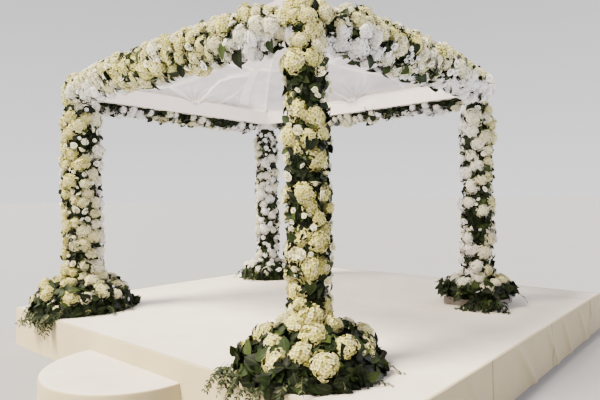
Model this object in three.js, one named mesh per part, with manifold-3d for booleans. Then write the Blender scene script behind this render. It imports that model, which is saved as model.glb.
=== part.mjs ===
// Chuppah canopy: four flower-covered posts and beams under a sheer domed roof,
// standing on a draped stage with a half-round step against its front.
// Millimetres, +Z up. The step is at the front (-Y); left and right are seen from there.

import * as THREE from 'three';
import { mergeVertices } from 'three/addons/utils/BufferGeometryUtils.js';
import Module from 'manifold-3d';

const wasm = await Module();
wasm.setup();

// Clearance between pieces that touch
const GAP = 0.3;

// Stage: a 16 foot square of decks, 16 inches high
const STAGE_WIDTH = 4876.8;
const STAGE_DEPTH = 4876.8;
const STAGE_TOP = 406.4;
const DECK_THICKNESS = 90;
const SKIRT_THICKNESS = 4;
const SKIRT_FLOOR_GAP = 5;
const TRESTLE_LENGTH = 4800;
const TRESTLE_WIDTH = 60;
const TRESTLE_INSET = 60;
const TRESTLE_RAIL = 40;
const TRESTLE_UPRIGHTS = 10;

// How the canopy stands on the stage: post centre lines and the overhang in front
const POST_SPACING_X = 3330;
const POST_SPACING_Y = 2950;
const STAGE_CENTRE_X = 148.5;
const FRONT_OVERHANG = 475;

// Half-round step
const STEP_RADIUS = 690;
const STEP_CENTRE_X = 110;
const STEP_TOP = 240;
const STEP_SLAB = 30;
const STEP_BEARER = 18;
const STEP_BEARER_SPACING = 260;
const STEP_LEDGE = 60;
const STEP_OVERLAP = 5;

// Frame
const POST_SIZE = 100;
const BEAM_UNDERSIDE = STAGE_TOP + 2350;
const BEAM_HEIGHT = 180;
const BEAM_TOP = BEAM_UNDERSIDE + BEAM_HEIGHT;
const TRAY_SIZE = 560;
const TRAY_HEIGHT = 90;

// Roof: bent ribs from the posts to the crown, with the cloth over them.
// Their curve is a quarter of a superellipse; a fullness of 2 would be a plain ellipse.
const ROOF_RISE = 450;
const ROOF_FULLNESS = 2.3;
const RIB_RADIUS = 12.5;
const CROWN_RADIUS = 70;
const CROWN_BELOW = 25;
const CLOTH_OFFSET = 16;
const CLOTH_THICKNESS = 4;

// Flowers. A blunt end keeps that share of the radius at its tip, and the swell is
// how far the heads bulge, as a share of the radius.
const CLUSTER_HEIGHT = STAGE_TOP + 2430;
const CLUSTER_SWELL = 0.05;
const COLUMN_END = 120;
const COLUMN_BLUNT = 0.63;
const COLUMN_SWELL = 0.07;
const GARLAND_RADIUS = 200;
const GARLAND_OUTWARD = 140;
const GARLAND_HEIGHT = STAGE_TOP + 2415;
const GARLAND_INSET = 50;
const GARLAND_END = 300;
const GARLAND_BLUNT = 0.15;
const GARLAND_SWELL = 0.06;
const MOUND_SWELL = 0.05;

// How finely round things are divided
const ARC_SEGMENTS = 16;
const RIB_STEPS = 16;
const RIB_SEGMENTS = 4;
const CROWN_SEGMENTS = 24;
const ROOF_SEGMENTS = 24;
const ROOF_RINGS = 16;
const COLUMN_SEGMENTS = 14;
const COLUMN_RINGS = 12;
const CLUSTER_RINGS = 8;
const GARLAND_SEGMENTS = 12;
const GARLAND_RINGS = 12;
const END_RINGS = 4;
const MOUND_SEGMENTS = 20;
const MOUND_RINGS = 6;

const HALF_X = POST_SPACING_X / 2;
const HALF_Y = POST_SPACING_Y / 2;
const HALF_POST = POST_SIZE / 2;
const STAGE_FRONT = -HALF_Y - FRONT_OVERHANG;
const STAGE_BACK = STAGE_FRONT + STAGE_DEPTH;
const STAGE_LEFT = STAGE_CENTRE_X - STAGE_WIDTH / 2;
const STAGE_RIGHT = STAGE_CENTRE_X + STAGE_WIDTH / 2;

// The four corners. The flowers are a column up the post, a cluster round its top and
// a mound at its foot, each with its own radius.
const corners = [
	{ name: 'front_left', sideX: -1, sideY: -1, phase: 0.4, column: 240, cluster: 200, mound: 560, moundHeight: 440 },
	{ name: 'front_right', sideX: 1, sideY: -1, phase: 1.9, column: 190, cluster: 205, mound: 545, moundHeight: 395 },
	{ name: 'back_right', sideX: 1, sideY: 1, phase: 3.1, column: 208, cluster: 150, mound: 450, moundHeight: 390 },
	{ name: 'back_left', sideX: -1, sideY: 1, phase: 4.6, column: 200, cluster: 150, mound: 430, moundHeight: 320 },
];

// The four sides: the beam's run, its centre and the way out from it
const sides = [
	{ name: 'front', alongX: true, out: -1, phase: 0.7 },
	{ name: 'right', alongX: false, out: 1, phase: 2.2 },
	{ name: 'back', alongX: true, out: 1, phase: 3.8 },
	{ name: 'left', alongX: false, out: -1, phase: 5.1 },
];

const finishes = {
	whitePaint: { color: 0xe6dfdc, roughness: 0.45, metalness: 0 },
	deckWood: { color: 0xb99e78, roughness: 0.7, metalness: 0 },
	trestleSteel: { color: 0x5a5c60, roughness: 0.5, metalness: 0.6 },
	skirtCloth: { color: 0xd8ccb0, roughness: 0.9, metalness: 0 },
	sheerCloth: { color: 0xd9d0dc, roughness: 0.8, metalness: 0 },
	trayPlastic: { color: 0x8d8b88, roughness: 0.6, metalness: 0 },
	flowers: { color: 0xdedaaa, roughness: 0.85, metalness: 0 },
	greenery: { color: 0x3c4a2c, roughness: 0.8, metalness: 0 },
};

const canopy = new THREE.Group();

function addPiece(name, geometry, finish) {
	const mesh = new THREE.Mesh(geometry, new THREE.MeshStandardMaterial(finishes[finish]));
	mesh.name = name;
	canopy.add(mesh);
	return mesh;
}

// Solids for cutting and joining

function toSolid(geometry) {
	const bare = geometry.clone();
	bare.deleteAttribute('normal');
	bare.deleteAttribute('uv');
	const merged = mergeVertices(bare, 1e-3);
	const index = merged.index.array;
	const triangles = [];
	for (let i = 0; i < index.length; i += 3) {
		const [a, b, c] = [index[i], index[i + 1], index[i + 2]];
		if (a !== b && b !== c && c !== a) triangles.push(a, b, c);
	}
	return new wasm.Manifold(new wasm.Mesh({
		numProp: 3,
		vertProperties: merged.attributes.position.array,
		triVerts: new Uint32Array(triangles),
	}));
}

function toGeometry(solid) {
	const mesh = solid.getMesh();
	const geometry = new THREE.BufferGeometry();
	geometry.setAttribute('position', new THREE.BufferAttribute(mesh.vertProperties, 3));
	geometry.setIndex(new THREE.BufferAttribute(mesh.triVerts, 1));
	geometry.computeVertexNormals();
	return geometry;
}

function without(solid, cutters) {
	return cutters.reduce((rest, cutter) => rest.subtract(cutter), solid);
}

// A box from its low to its high corner, made larger all round by grow
function boxBetween(low, high, grow = 0) {
	const size = high.map((value, axis) => value - low[axis] + 2 * grow);
	const geometry = new THREE.BoxGeometry(...size);
	return geometry.translate(...high.map((value, axis) => (value + low[axis]) / 2));
}

// Stage

function makeDecks() {
	const middleY = (STAGE_FRONT + STAGE_BACK) / 2;
	for (const [across, lowX, highX] of [
		['left', STAGE_LEFT, STAGE_CENTRE_X],
		['right', STAGE_CENTRE_X, STAGE_RIGHT],
	]) {
		for (const [along, lowY, highY] of [
			['front', STAGE_FRONT, middleY],
			['back', middleY, STAGE_BACK],
		]) {
			const low = [lowX + GAP / 2, lowY + GAP / 2, STAGE_TOP - DECK_THICKNESS];
			const high = [highX - GAP / 2, highY - GAP / 2, STAGE_TOP];
			addPiece(`stage_deck_${along}_${across}`, boxBetween(low, high), 'deckWood');
		}
	}
}

// A ladder frame on edge: two rails with evenly spaced uprights
function trestleGeometry() {
	const height = STAGE_TOP - DECK_THICKNESS - GAP;
	const halfWidth = TRESTLE_WIDTH / 2;
	const pitch = (TRESTLE_LENGTH - TRESTLE_RAIL) / (TRESTLE_UPRIGHTS - 1);
	const bays = [];
	for (let bay = 0; bay < TRESTLE_UPRIGHTS - 1; bay += 1) {
		const left = -TRESTLE_LENGTH / 2 + TRESTLE_RAIL + bay * pitch;
		const low = [left, -TRESTLE_WIDTH, TRESTLE_RAIL];
		const high = [left + pitch - TRESTLE_RAIL, TRESTLE_WIDTH, height - TRESTLE_RAIL];
		bays.push(toSolid(boxBetween(low, high)));
	}
	const low = [-TRESTLE_LENGTH / 2, -halfWidth, 0];
	const blank = boxBetween(low, [TRESTLE_LENGTH / 2, halfWidth, height]);
	return toGeometry(without(toSolid(blank), bays));
}

function makeTrestles() {
	for (const [name, y] of [
		['front', STAGE_FRONT + TRESTLE_INSET],
		['middle', (STAGE_FRONT + STAGE_BACK) / 2],
		['back', STAGE_BACK - TRESTLE_INSET],
	]) {
		const trestle = addPiece(`stage_trestle_${name}`, trestleGeometry(), 'trestleSteel');
		trestle.position.set(STAGE_CENTRE_X, y, 0);
	}
}

// The front and back skirts cover the ends of the side skirts
function makeSkirts() {
	const reach = GAP + SKIRT_THICKNESS;
	const zs = [SKIRT_FLOOR_GAP, STAGE_TOP];
	const outer = { x: [STAGE_LEFT - reach, STAGE_RIGHT + reach], y: [STAGE_FRONT - reach, STAGE_BACK + reach] };
	const front = [[outer.x[0], outer.y[0], zs[0]], [outer.x[1], STAGE_FRONT - GAP, zs[1]]];
	const back = [[outer.x[0], STAGE_BACK + GAP, zs[0]], [outer.x[1], outer.y[1], zs[1]]];
	const left = [[outer.x[0], STAGE_FRONT, zs[0]], [STAGE_LEFT - GAP, STAGE_BACK, zs[1]]];
	const right = [[STAGE_RIGHT + GAP, STAGE_FRONT, zs[0]], [outer.x[1], STAGE_BACK, zs[1]]];
	for (const [name, [low, high]] of Object.entries({ front, back, left, right })) {
		addPiece(`stage_skirt_${name}`, boxBetween(low, high), 'skirtCloth');
	}
}

// Half-round step, built at its own centre with the straight side on y = 0

function halfRound(radius, depth) {
	const outline = new THREE.Shape();
	outline.moveTo(-radius, 0);
	outline.absarc(0, 0, radius, Math.PI, 2 * Math.PI, false);
	outline.closePath();
	return new THREE.ExtrudeGeometry(outline, { depth, bevelEnabled: false, curveSegments: ARC_SEGMENTS });
}

function makeStep() {
	const slabRadius = STEP_RADIUS - SKIRT_THICKNESS - GAP;
	const slabBottom = STEP_TOP - STEP_SLAB;
	const slab = halfRound(slabRadius, STEP_SLAB).translate(0, 0, slabBottom);
	let platform = toSolid(slab);
	const bearerTop = slabBottom + STEP_OVERLAP;
	const ledge = slabRadius - STEP_LEDGE;
	const back = boxBetween([-ledge, -STEP_BEARER, 0], [ledge, 0, bearerTop]);
	platform = platform.add(toSolid(back));
	for (const x of [-STEP_BEARER_SPACING, 0, STEP_BEARER_SPACING]) {
		const reach = Math.sqrt(ledge ** 2 - (Math.abs(x) + STEP_BEARER) ** 2);
		const low = [x - STEP_BEARER / 2, -reach, 0];
		const high = [x + STEP_BEARER / 2, -STEP_BEARER / 2, bearerTop];
		platform = platform.add(toSolid(boxBetween(low, high)));
	}
	const wall = new THREE.Shape();
	wall.absarc(0, 0, STEP_RADIUS, Math.PI, 2 * Math.PI, false);
	wall.absarc(0, 0, STEP_RADIUS - SKIRT_THICKNESS, 2 * Math.PI, Math.PI, true);
	wall.closePath();
	const skirtHeight = STEP_TOP - SKIRT_FLOOR_GAP;
	const settings = { depth: skirtHeight, bevelEnabled: false, curveSegments: ARC_SEGMENTS };
	const skirt = new THREE.ExtrudeGeometry(wall, settings);
	const place = new THREE.Vector3(STEP_CENTRE_X, STAGE_FRONT - 2 * GAP - SKIRT_THICKNESS, 0);
	addPiece('step_platform', toGeometry(platform), 'deckWood').position.copy(place);
	addPiece('step_skirt', skirt.translate(0, 0, SKIRT_FLOOR_GAP), 'skirtCloth').position.copy(place);
}

// Frame

function postBox(corner, grow = 0) {
	const x = corner.sideX * HALF_X;
	const y = corner.sideY * HALF_Y;
	const low = [x - HALF_POST, y - HALF_POST, STAGE_TOP + GAP];
	return boxBetween(low, [x + HALF_POST, y + HALF_POST, BEAM_TOP], grow);
}

function beamBox(side, grow = 0) {
	const half = (side.alongX ? HALF_X : HALF_Y) - HALF_POST - GAP;
	const offset = side.out * (side.alongX ? HALF_Y : HALF_X);
	const near = offset - HALF_POST;
	const far = offset + HALF_POST;
	const low = side.alongX ? [-half, near, BEAM_UNDERSIDE] : [near, -half, BEAM_UNDERSIDE];
	const high = side.alongX ? [half, far, BEAM_TOP] : [far, half, BEAM_TOP];
	return boxBetween(low, high, grow);
}

function trayBox(corner, grow = 0) {
	const x = corner.sideX * HALF_X;
	const y = corner.sideY * HALF_Y;
	const low = [x - TRAY_SIZE / 2, y - TRAY_SIZE / 2, STAGE_TOP + GAP];
	const high = [x + TRAY_SIZE / 2, y + TRAY_SIZE / 2, STAGE_TOP + GAP + TRAY_HEIGHT];
	return boxBetween(low, high, grow);
}

function makeFrame() {
	for (const corner of corners) {
		addPiece(`post_${corner.name}`, postBox(corner), 'whitePaint');
		const tray = toSolid(trayBox(corner)).subtract(toSolid(postBox(corner, GAP)));
		addPiece(`base_tray_${corner.name}`, toGeometry(tray), 'trayPlastic');
	}
	for (const side of sides) {
		addPiece(`beam_${side.name}`, beamBox(side), 'whitePaint');
	}
}

// Roof

// The roof's section: how far out from the crown, and how high, as shares of the whole
function roofRun(angle) {
	return Math.max(Math.cos(angle), 0) ** (2 / ROOF_FULLNESS);
}

function roofHeight(angle) {
	return Math.sin(angle) ** (2 / ROOF_FULLNESS);
}

// A bent tube from a post top to the crown
class HipCurve extends THREE.Curve {
	constructor(corner) {
		super();
		this.corner = corner;
		const crownShare = (CROWN_RADIUS + GAP) / Math.hypot(HALF_X, HALF_Y);
		this.start = Math.asin((GAP / ROOF_RISE) ** (ROOF_FULLNESS / 2));
		this.end = Math.acos(crownShare ** (ROOF_FULLNESS / 2));
	}

	getPoint(t, target = new THREE.Vector3()) {
		const angle = this.start + t * (this.end - this.start);
		const { sideX, sideY } = this.corner;
		const height = BEAM_TOP + ROOF_RISE * roofHeight(angle);
		return target.set(sideX * HALF_X * roofRun(angle), sideY * HALF_Y * roofRun(angle), height);
	}
}

function makeRibs() {
	const section = new THREE.Shape();
	section.absarc(0, 0, RIB_RADIUS, 0, 2 * Math.PI, false);
	for (const corner of corners) {
		const settings = { steps: RIB_STEPS, curveSegments: RIB_SEGMENTS, extrudePath: new HipCurve(corner) };
		addPiece(`hip_rib_${corner.name}`, new THREE.ExtrudeGeometry(section, settings), 'whitePaint');
	}
	const height = CROWN_BELOW + RIB_RADIUS;
	const crown = new THREE.CylinderGeometry(CROWN_RADIUS, CROWN_RADIUS, height, CROWN_SEGMENTS);
	crown.rotateX(Math.PI / 2).translate(0, 0, BEAM_TOP + ROOF_RISE + RIB_RADIUS - height / 2);
	addPiece('crown_hub', crown, 'whitePaint');
}

// Points on the roof's section, from the crown out to the rim
function roofSection(offset) {
	const points = [];
	for (let ring = ROOF_RINGS; ring >= 0; ring -= 1) {
		const angle = (ring / ROOF_RINGS) * (Math.PI / 2);
		const run = ring === ROOF_RINGS ? 0 : (HALF_X + offset) * roofRun(angle);
		points.push(new THREE.Vector2(run, (ROOF_RISE + offset) * roofHeight(angle)));
	}
	return points;
}

// Turns the section round, then squares the circle out to the plan of the posts
function roofGeometry(section) {
	const geometry = new THREE.LatheGeometry(section, ROOF_SEGMENTS).rotateX(Math.PI / 2);
	const position = geometry.attributes.position;
	for (let i = 0; i < position.count; i += 1) {
		const x = position.getX(i);
		const y = position.getY(i);
		const reach = Math.max(Math.abs(x), Math.abs(y));
		const square = reach > 0 ? Math.hypot(x, y) / reach : 1;
		position.setXY(i, x * square, (y * square * HALF_Y) / HALF_X);
	}
	return geometry.translate(0, 0, BEAM_TOP + GAP);
}

function makeRoof() {
	const inner = roofSection(CLOTH_OFFSET);
	const outer = roofSection(CLOTH_OFFSET + CLOTH_THICKNESS).reverse();
	addPiece('roof_cloth', roofGeometry([...inner, ...outer]), 'sheerCloth');
}

// Everything under the cloth's outer face, with a margin, for cutting the flowers back
function roofCutter() {
	const outline = roofSection(CLOTH_OFFSET + CLOTH_THICKNESS + 2 * GAP).reverse();
	outline.unshift(new THREE.Vector2(0, -2 * GAP), new THREE.Vector2(outline[0].x, -2 * GAP));
	return toSolid(roofGeometry(outline));
}

// Flowers: lumpy bodies of revolution, with the heads' swell as waves in the radius

function lump(angle, height, phase) {
	const wide = Math.sin(3 * angle + 2.1 * Math.sin(height / 210 + phase) + phase);
	const tall = Math.sin(height / 74 + 2 * Math.sin(angle + phase));
	return wide * tall;
}

function bloomGeometry(section, segments, phase, swell) {
	const geometry = new THREE.LatheGeometry(section, segments).rotateX(Math.PI / 2);
	const position = geometry.attributes.position;
	for (let i = 0; i < position.count; i += 1) {
		const x = position.getX(i);
		const y = position.getY(i);
		const scale = 1 + swell * lump(Math.atan2(y, x), position.getZ(i), phase);
		position.setXY(i, x * scale, y * scale);
	}
	return geometry;
}

// Places along a bar of flowers: close together in its rounded ends, even between them
function barPlaces(length, end, rings) {
	const rounded = [];
	for (let ring = 0; ring < END_RINGS; ring += 1) {
		rounded.push(end * (1 - Math.cos((ring / END_RINGS) * (Math.PI / 2))));
	}
	const straight = [];
	for (let ring = 0; ring <= rings; ring += 1) {
		straight.push(end + (ring / rings) * (length - 2 * end));
	}
	return [...rounded, ...straight, ...rounded.map((place) => length - place).reverse()];
}

// A round bar of flowers along +Z
function barSection(radius, length, rings, end, blunt) {
	const points = [new THREE.Vector2(0, 0)];
	for (const place of barPlaces(length, end, rings)) {
		const inEnd = Math.min(place, length - place, end);
		const share = Math.sqrt(1 - (1 - inEnd / end) ** 2 * (1 - blunt ** 2));
		points.push(new THREE.Vector2(radius * share, place));
	}
	points.push(new THREE.Vector2(0, length));
	return points;
}

function ballSection(radius, rings) {
	const points = [];
	for (let ring = 0; ring <= rings; ring += 1) {
		const angle = -Math.PI / 2 + (ring / rings) * Math.PI;
		const run = ring === 0 || ring === rings ? 0 : radius * Math.cos(angle);
		points.push(new THREE.Vector2(run, radius * Math.sin(angle)));
	}
	return points;
}

function moundSection(radius, height, rings) {
	const points = [new THREE.Vector2(0, 0)];
	for (let ring = 0; ring <= rings; ring += 1) {
		const angle = (ring / rings) * (Math.PI / 2);
		const run = ring === rings ? 0 : radius * Math.cos(angle);
		points.push(new THREE.Vector2(run, height * Math.sin(angle)));
	}
	return points;
}

// The flowers round one post with the cluster that crowns its corner
function columnSolid(corner, grow) {
	const bottom = STAGE_TOP + TRAY_HEIGHT + 2 * GAP;
	const length = CLUSTER_HEIGHT - bottom;
	const section = barSection(corner.column + grow, length, COLUMN_RINGS, COLUMN_END, COLUMN_BLUNT);
	const bar = bloomGeometry(section, COLUMN_SEGMENTS, corner.phase, COLUMN_SWELL);
	bar.translate(corner.sideX * HALF_X, corner.sideY * HALF_Y, bottom);
	const ball = ballSection(corner.cluster + grow, CLUSTER_RINGS);
	const cluster = bloomGeometry(ball, COLUMN_SEGMENTS, corner.phase, CLUSTER_SWELL);
	cluster.translate(corner.sideX * HALF_X, corner.sideY * HALF_Y, CLUSTER_HEIGHT);
	return toSolid(bar).add(toSolid(cluster));
}

function moundSolid(corner) {
	const section = moundSection(corner.mound, corner.moundHeight, MOUND_RINGS);
	const mound = bloomGeometry(section, MOUND_SEGMENTS, corner.phase, MOUND_SWELL);
	mound.translate(corner.sideX * HALF_X, corner.sideY * HALF_Y, STAGE_TOP + GAP);
	return toSolid(mound);
}

// The flowers on one beam: they cover its outer face and hang below it
function garlandSolid(side) {
	const length = 2 * ((side.alongX ? HALF_X : HALF_Y) - GARLAND_INSET);
	const section = barSection(GARLAND_RADIUS, length, GARLAND_RINGS, GARLAND_END, GARLAND_BLUNT);
	const bar = bloomGeometry(section, GARLAND_SEGMENTS, side.phase, GARLAND_SWELL);
	bar.translate(0, 0, -length / 2);
	const offset = side.out * ((side.alongX ? HALF_Y : HALF_X) + GARLAND_OUTWARD);
	if (side.alongX) {
		bar.rotateY(Math.PI / 2).translate(0, offset, GARLAND_HEIGHT);
	} else {
		bar.rotateX(Math.PI / 2).translate(offset, 0, GARLAND_HEIGHT);
	}
	return toSolid(bar);
}

function makeFlowers() {
	const reachX = HALF_X - HALF_POST + GAP;
	const reachY = HALF_Y - HALF_POST + GAP;
	const roof = roofCutter();
	const roofTop = BEAM_TOP + ROOF_RISE;
	const room = toSolid(boxBetween([-reachX, -reachY, BEAM_UNDERSIDE - GAP], [reachX, reachY, roofTop]));
	const passage = toSolid(boxBetween([-reachX, -reachY, 0], [reachX, reachY, BEAM_TOP]));
	const beams = sides.map((side) => toSolid(beamBox(side, GAP)));
	const posts = corners.map((corner) => toSolid(postBox(corner, GAP)));
	const columns = corners.map((corner) => columnSolid(corner, 2 * GAP));
	for (const corner of corners) {
		const column = without(columnSolid(corner, 0), [...posts, ...beams, room, roof]);
		addPiece(`flower_column_${corner.name}`, toGeometry(column), 'flowers');
		const tray = toSolid(trayBox(corner, GAP));
		const mound = without(moundSolid(corner), [tray, ...columns, ...posts]);
		addPiece(`flower_mound_${corner.name}`, toGeometry(mound), 'greenery');
	}
	for (const side of sides) {
		const cutters = [passage, room, roof, ...beams, ...posts, ...columns];
		const garland = without(garlandSolid(side), cutters);
		addPiece(`garland_${side.name}`, toGeometry(garland), 'flowers');
	}
}

makeDecks();
makeTrestles();
makeSkirts();
makeStep();
makeFrame();
makeRibs();
makeRoof();
makeFlowers();

// The origin is on the floor under the middle of the whole model
const extent = new THREE.Box3().setFromObject(canopy);
const middle = extent.getCenter(new THREE.Vector3());
canopy.position.set(-middle.x, -middle.y, -extent.min.z);
canopy.updateMatrixWorld(true);

export default canopy;
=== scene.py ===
import math
from itertools import product

import bpy
import numpy as np
from mathutils import Matrix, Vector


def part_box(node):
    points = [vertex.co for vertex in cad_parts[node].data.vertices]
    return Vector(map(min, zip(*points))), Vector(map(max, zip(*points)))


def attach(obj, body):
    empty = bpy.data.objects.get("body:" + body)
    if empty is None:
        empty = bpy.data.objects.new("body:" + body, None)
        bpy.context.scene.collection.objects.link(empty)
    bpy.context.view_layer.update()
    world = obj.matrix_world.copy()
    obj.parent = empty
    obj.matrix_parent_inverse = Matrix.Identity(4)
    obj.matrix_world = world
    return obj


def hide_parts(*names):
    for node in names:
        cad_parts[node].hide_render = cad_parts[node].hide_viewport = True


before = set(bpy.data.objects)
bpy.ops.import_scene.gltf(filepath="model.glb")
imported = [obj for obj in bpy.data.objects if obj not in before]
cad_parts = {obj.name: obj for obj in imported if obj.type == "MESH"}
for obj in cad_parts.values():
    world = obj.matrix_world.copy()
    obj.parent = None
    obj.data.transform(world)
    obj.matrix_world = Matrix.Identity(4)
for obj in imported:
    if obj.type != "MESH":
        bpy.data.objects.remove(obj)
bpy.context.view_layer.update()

# Places, from the frame. Everything is in metres, the step is at the front, -Y.

UP = np.array([0.0, 0.0, 1.0])
CORNERS = {
    "front_left": (-1, -1),
    "front_right": (1, -1),
    "back_right": (1, 1),
    "back_left": (-1, 1),
}
SIDES = {
    "front": np.array([0.0, -1.0, 0.0]),
    "right": np.array([1.0, 0.0, 0.0]),
    "back": np.array([0.0, 1.0, 0.0]),
    "left": np.array([-1.0, 0.0, 0.0]),
}


def corners_of(node):
    low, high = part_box(node)
    return np.array(low), np.array(high)


POSTS = {name: sum(corners_of("post_" + name)) / 2 for name in CORNERS}
CENTRE = sum(POSTS.values()) / 4
HALF_X = (POSTS["front_right"][0] - POSTS["front_left"][0]) / 2
HALF_Y = (POSTS["back_left"][1] - POSTS["front_left"][1]) / 2
HALF_POST = 0.05
STAGE_LOW, (_, _, DECK_TOP) = corners_of("stage_deck_front_left")
STAGE_HIGH = corners_of("stage_deck_back_right")[1]
BEAM_LOW, BEAM_TOP = (corner[2] for corner in corners_of("beam_front"))
STEP_LOW, STEP_HIGH = corners_of("step_skirt")
STEP_TOP = corners_of("step_platform")[1][2]


def at_height(place, height):
    """The point at a height over or under a place."""
    return np.array([place[0], place[1], height])


def half_spans(side):
    """Half the spacing of the posts, from the middle out to a side's beam, and along that beam."""
    return (HALF_Y, HALF_X) if side in ("front", "back") else (HALF_X, HALF_Y)


def way_along(side):
    """The direction along a side that has the middle on its left."""
    out = SIDES[side]
    return np.array([-out[1], out[0], 0.0])


def xyz(x, y, z):
    """Points from their three coordinates, arrays or numbers."""
    return np.stack(np.broadcast_arrays(x, y, z), -1)


def round_z(angle, run, height):
    """Points at an angle about Z, a distance from it and a height."""
    return xyz(run * np.cos(angle), run * np.sin(angle), height)


def limited(values):
    return np.clip(values, 0, 1)


def bell(values):
    """1 where a value is 0, falling to nearly 0 at 2 either way."""
    return np.exp(-values ** 2)


def length_of(vectors):
    return np.linalg.norm(vectors, axis=-1)


def turned(place, x, y, z):
    """A matrix with three directions as its axes, at a place."""
    return Matrix([[x[i], y[i], z[i], place[i]] for i in range(3)] + [[0, 0, 0, 1]])


# The roof's curve, as the frame has it
ROOF_RISE = 0.45
ROOF_FULLNESS = 2.3
CLOTH_OFFSET = 0.018

# Flower bodies, as the frame has them
COLUMN_RADIUS = {"front_left": 0.240, "front_right": 0.190, "back_right": 0.208, "back_left": 0.200}
CLUSTER_RADIUS = {"front_left": 0.200, "front_right": 0.205, "back_right": 0.150, "back_left": 0.150}
MOUND_RADIUS = {"front_left": 0.560, "front_right": 0.545, "back_right": 0.450, "back_left": 0.430}
MOUND_HEIGHT = {"front_left": 0.440, "front_right": 0.395, "back_right": 0.390, "back_left": 0.320}
CLUSTER_HEIGHT = DECK_TOP + 2.43
GARLAND_RADIUS = 0.20
GARLAND_OUTWARD = 0.14
GARLAND_HEIGHT = DECK_TOP + 2.415
GARLAND_INSET = 0.05
GARLAND_END = 0.30

# How much the flowers of columns and mounds vary in depth, and how far the beams' flowers sink to two corners
COLUMN_LUMPS = 0.030
MOUND_LUMPS = 0.05
END_SINK = {"front": (-1, 0.075), "right": (1, 0.055)}
END_SINK_LENGTH = 0.85

rng = np.random.default_rng(11)


# Camera, at the photograph's viewing angle

CAMERA_PLACE = np.array([4.068, -4.308, 1.199])
CAMERA_YAW, CAMERA_PITCH, CAMERA_ROLL = np.radians([41.19, -0.106, -0.626])
FOCAL_PIXELS = 525.3
FRAME_WIDTH_PIXELS = 600
SENSOR_MM = 36.0


def make_camera():
    ahead = np.array([
        -math.sin(CAMERA_YAW) * math.cos(CAMERA_PITCH),
        math.cos(CAMERA_YAW) * math.cos(CAMERA_PITCH),
        math.sin(CAMERA_PITCH),
    ])
    level = np.array([math.cos(CAMERA_YAW), math.sin(CAMERA_YAW), 0.0])
    upright = np.cross(level, ahead)
    right = level * math.cos(CAMERA_ROLL) + upright * math.sin(CAMERA_ROLL)
    up = upright * math.cos(CAMERA_ROLL) - level * math.sin(CAMERA_ROLL)
    data = bpy.data.cameras.new("camera")
    data.sensor_width = SENSOR_MM
    data.lens = FOCAL_PIXELS / FRAME_WIDTH_PIXELS * SENSOR_MM
    camera = bpy.data.objects.new("camera", data)
    bpy.context.scene.collection.objects.link(camera)
    camera.matrix_world = turned(at_height(CENTRE, DECK_TOP) + CAMERA_PLACE, right, up, -ahead)
    bpy.context.scene.camera = camera


# Materials


def linear(colour):
    """A colour from 0 to 255 a channel, as linear light."""
    shares = [value / 255 for value in colour]
    return [share / 12.92 if share <= 0.04045 else ((share + 0.055) / 1.055) ** 2.4 for share in shares]


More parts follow.
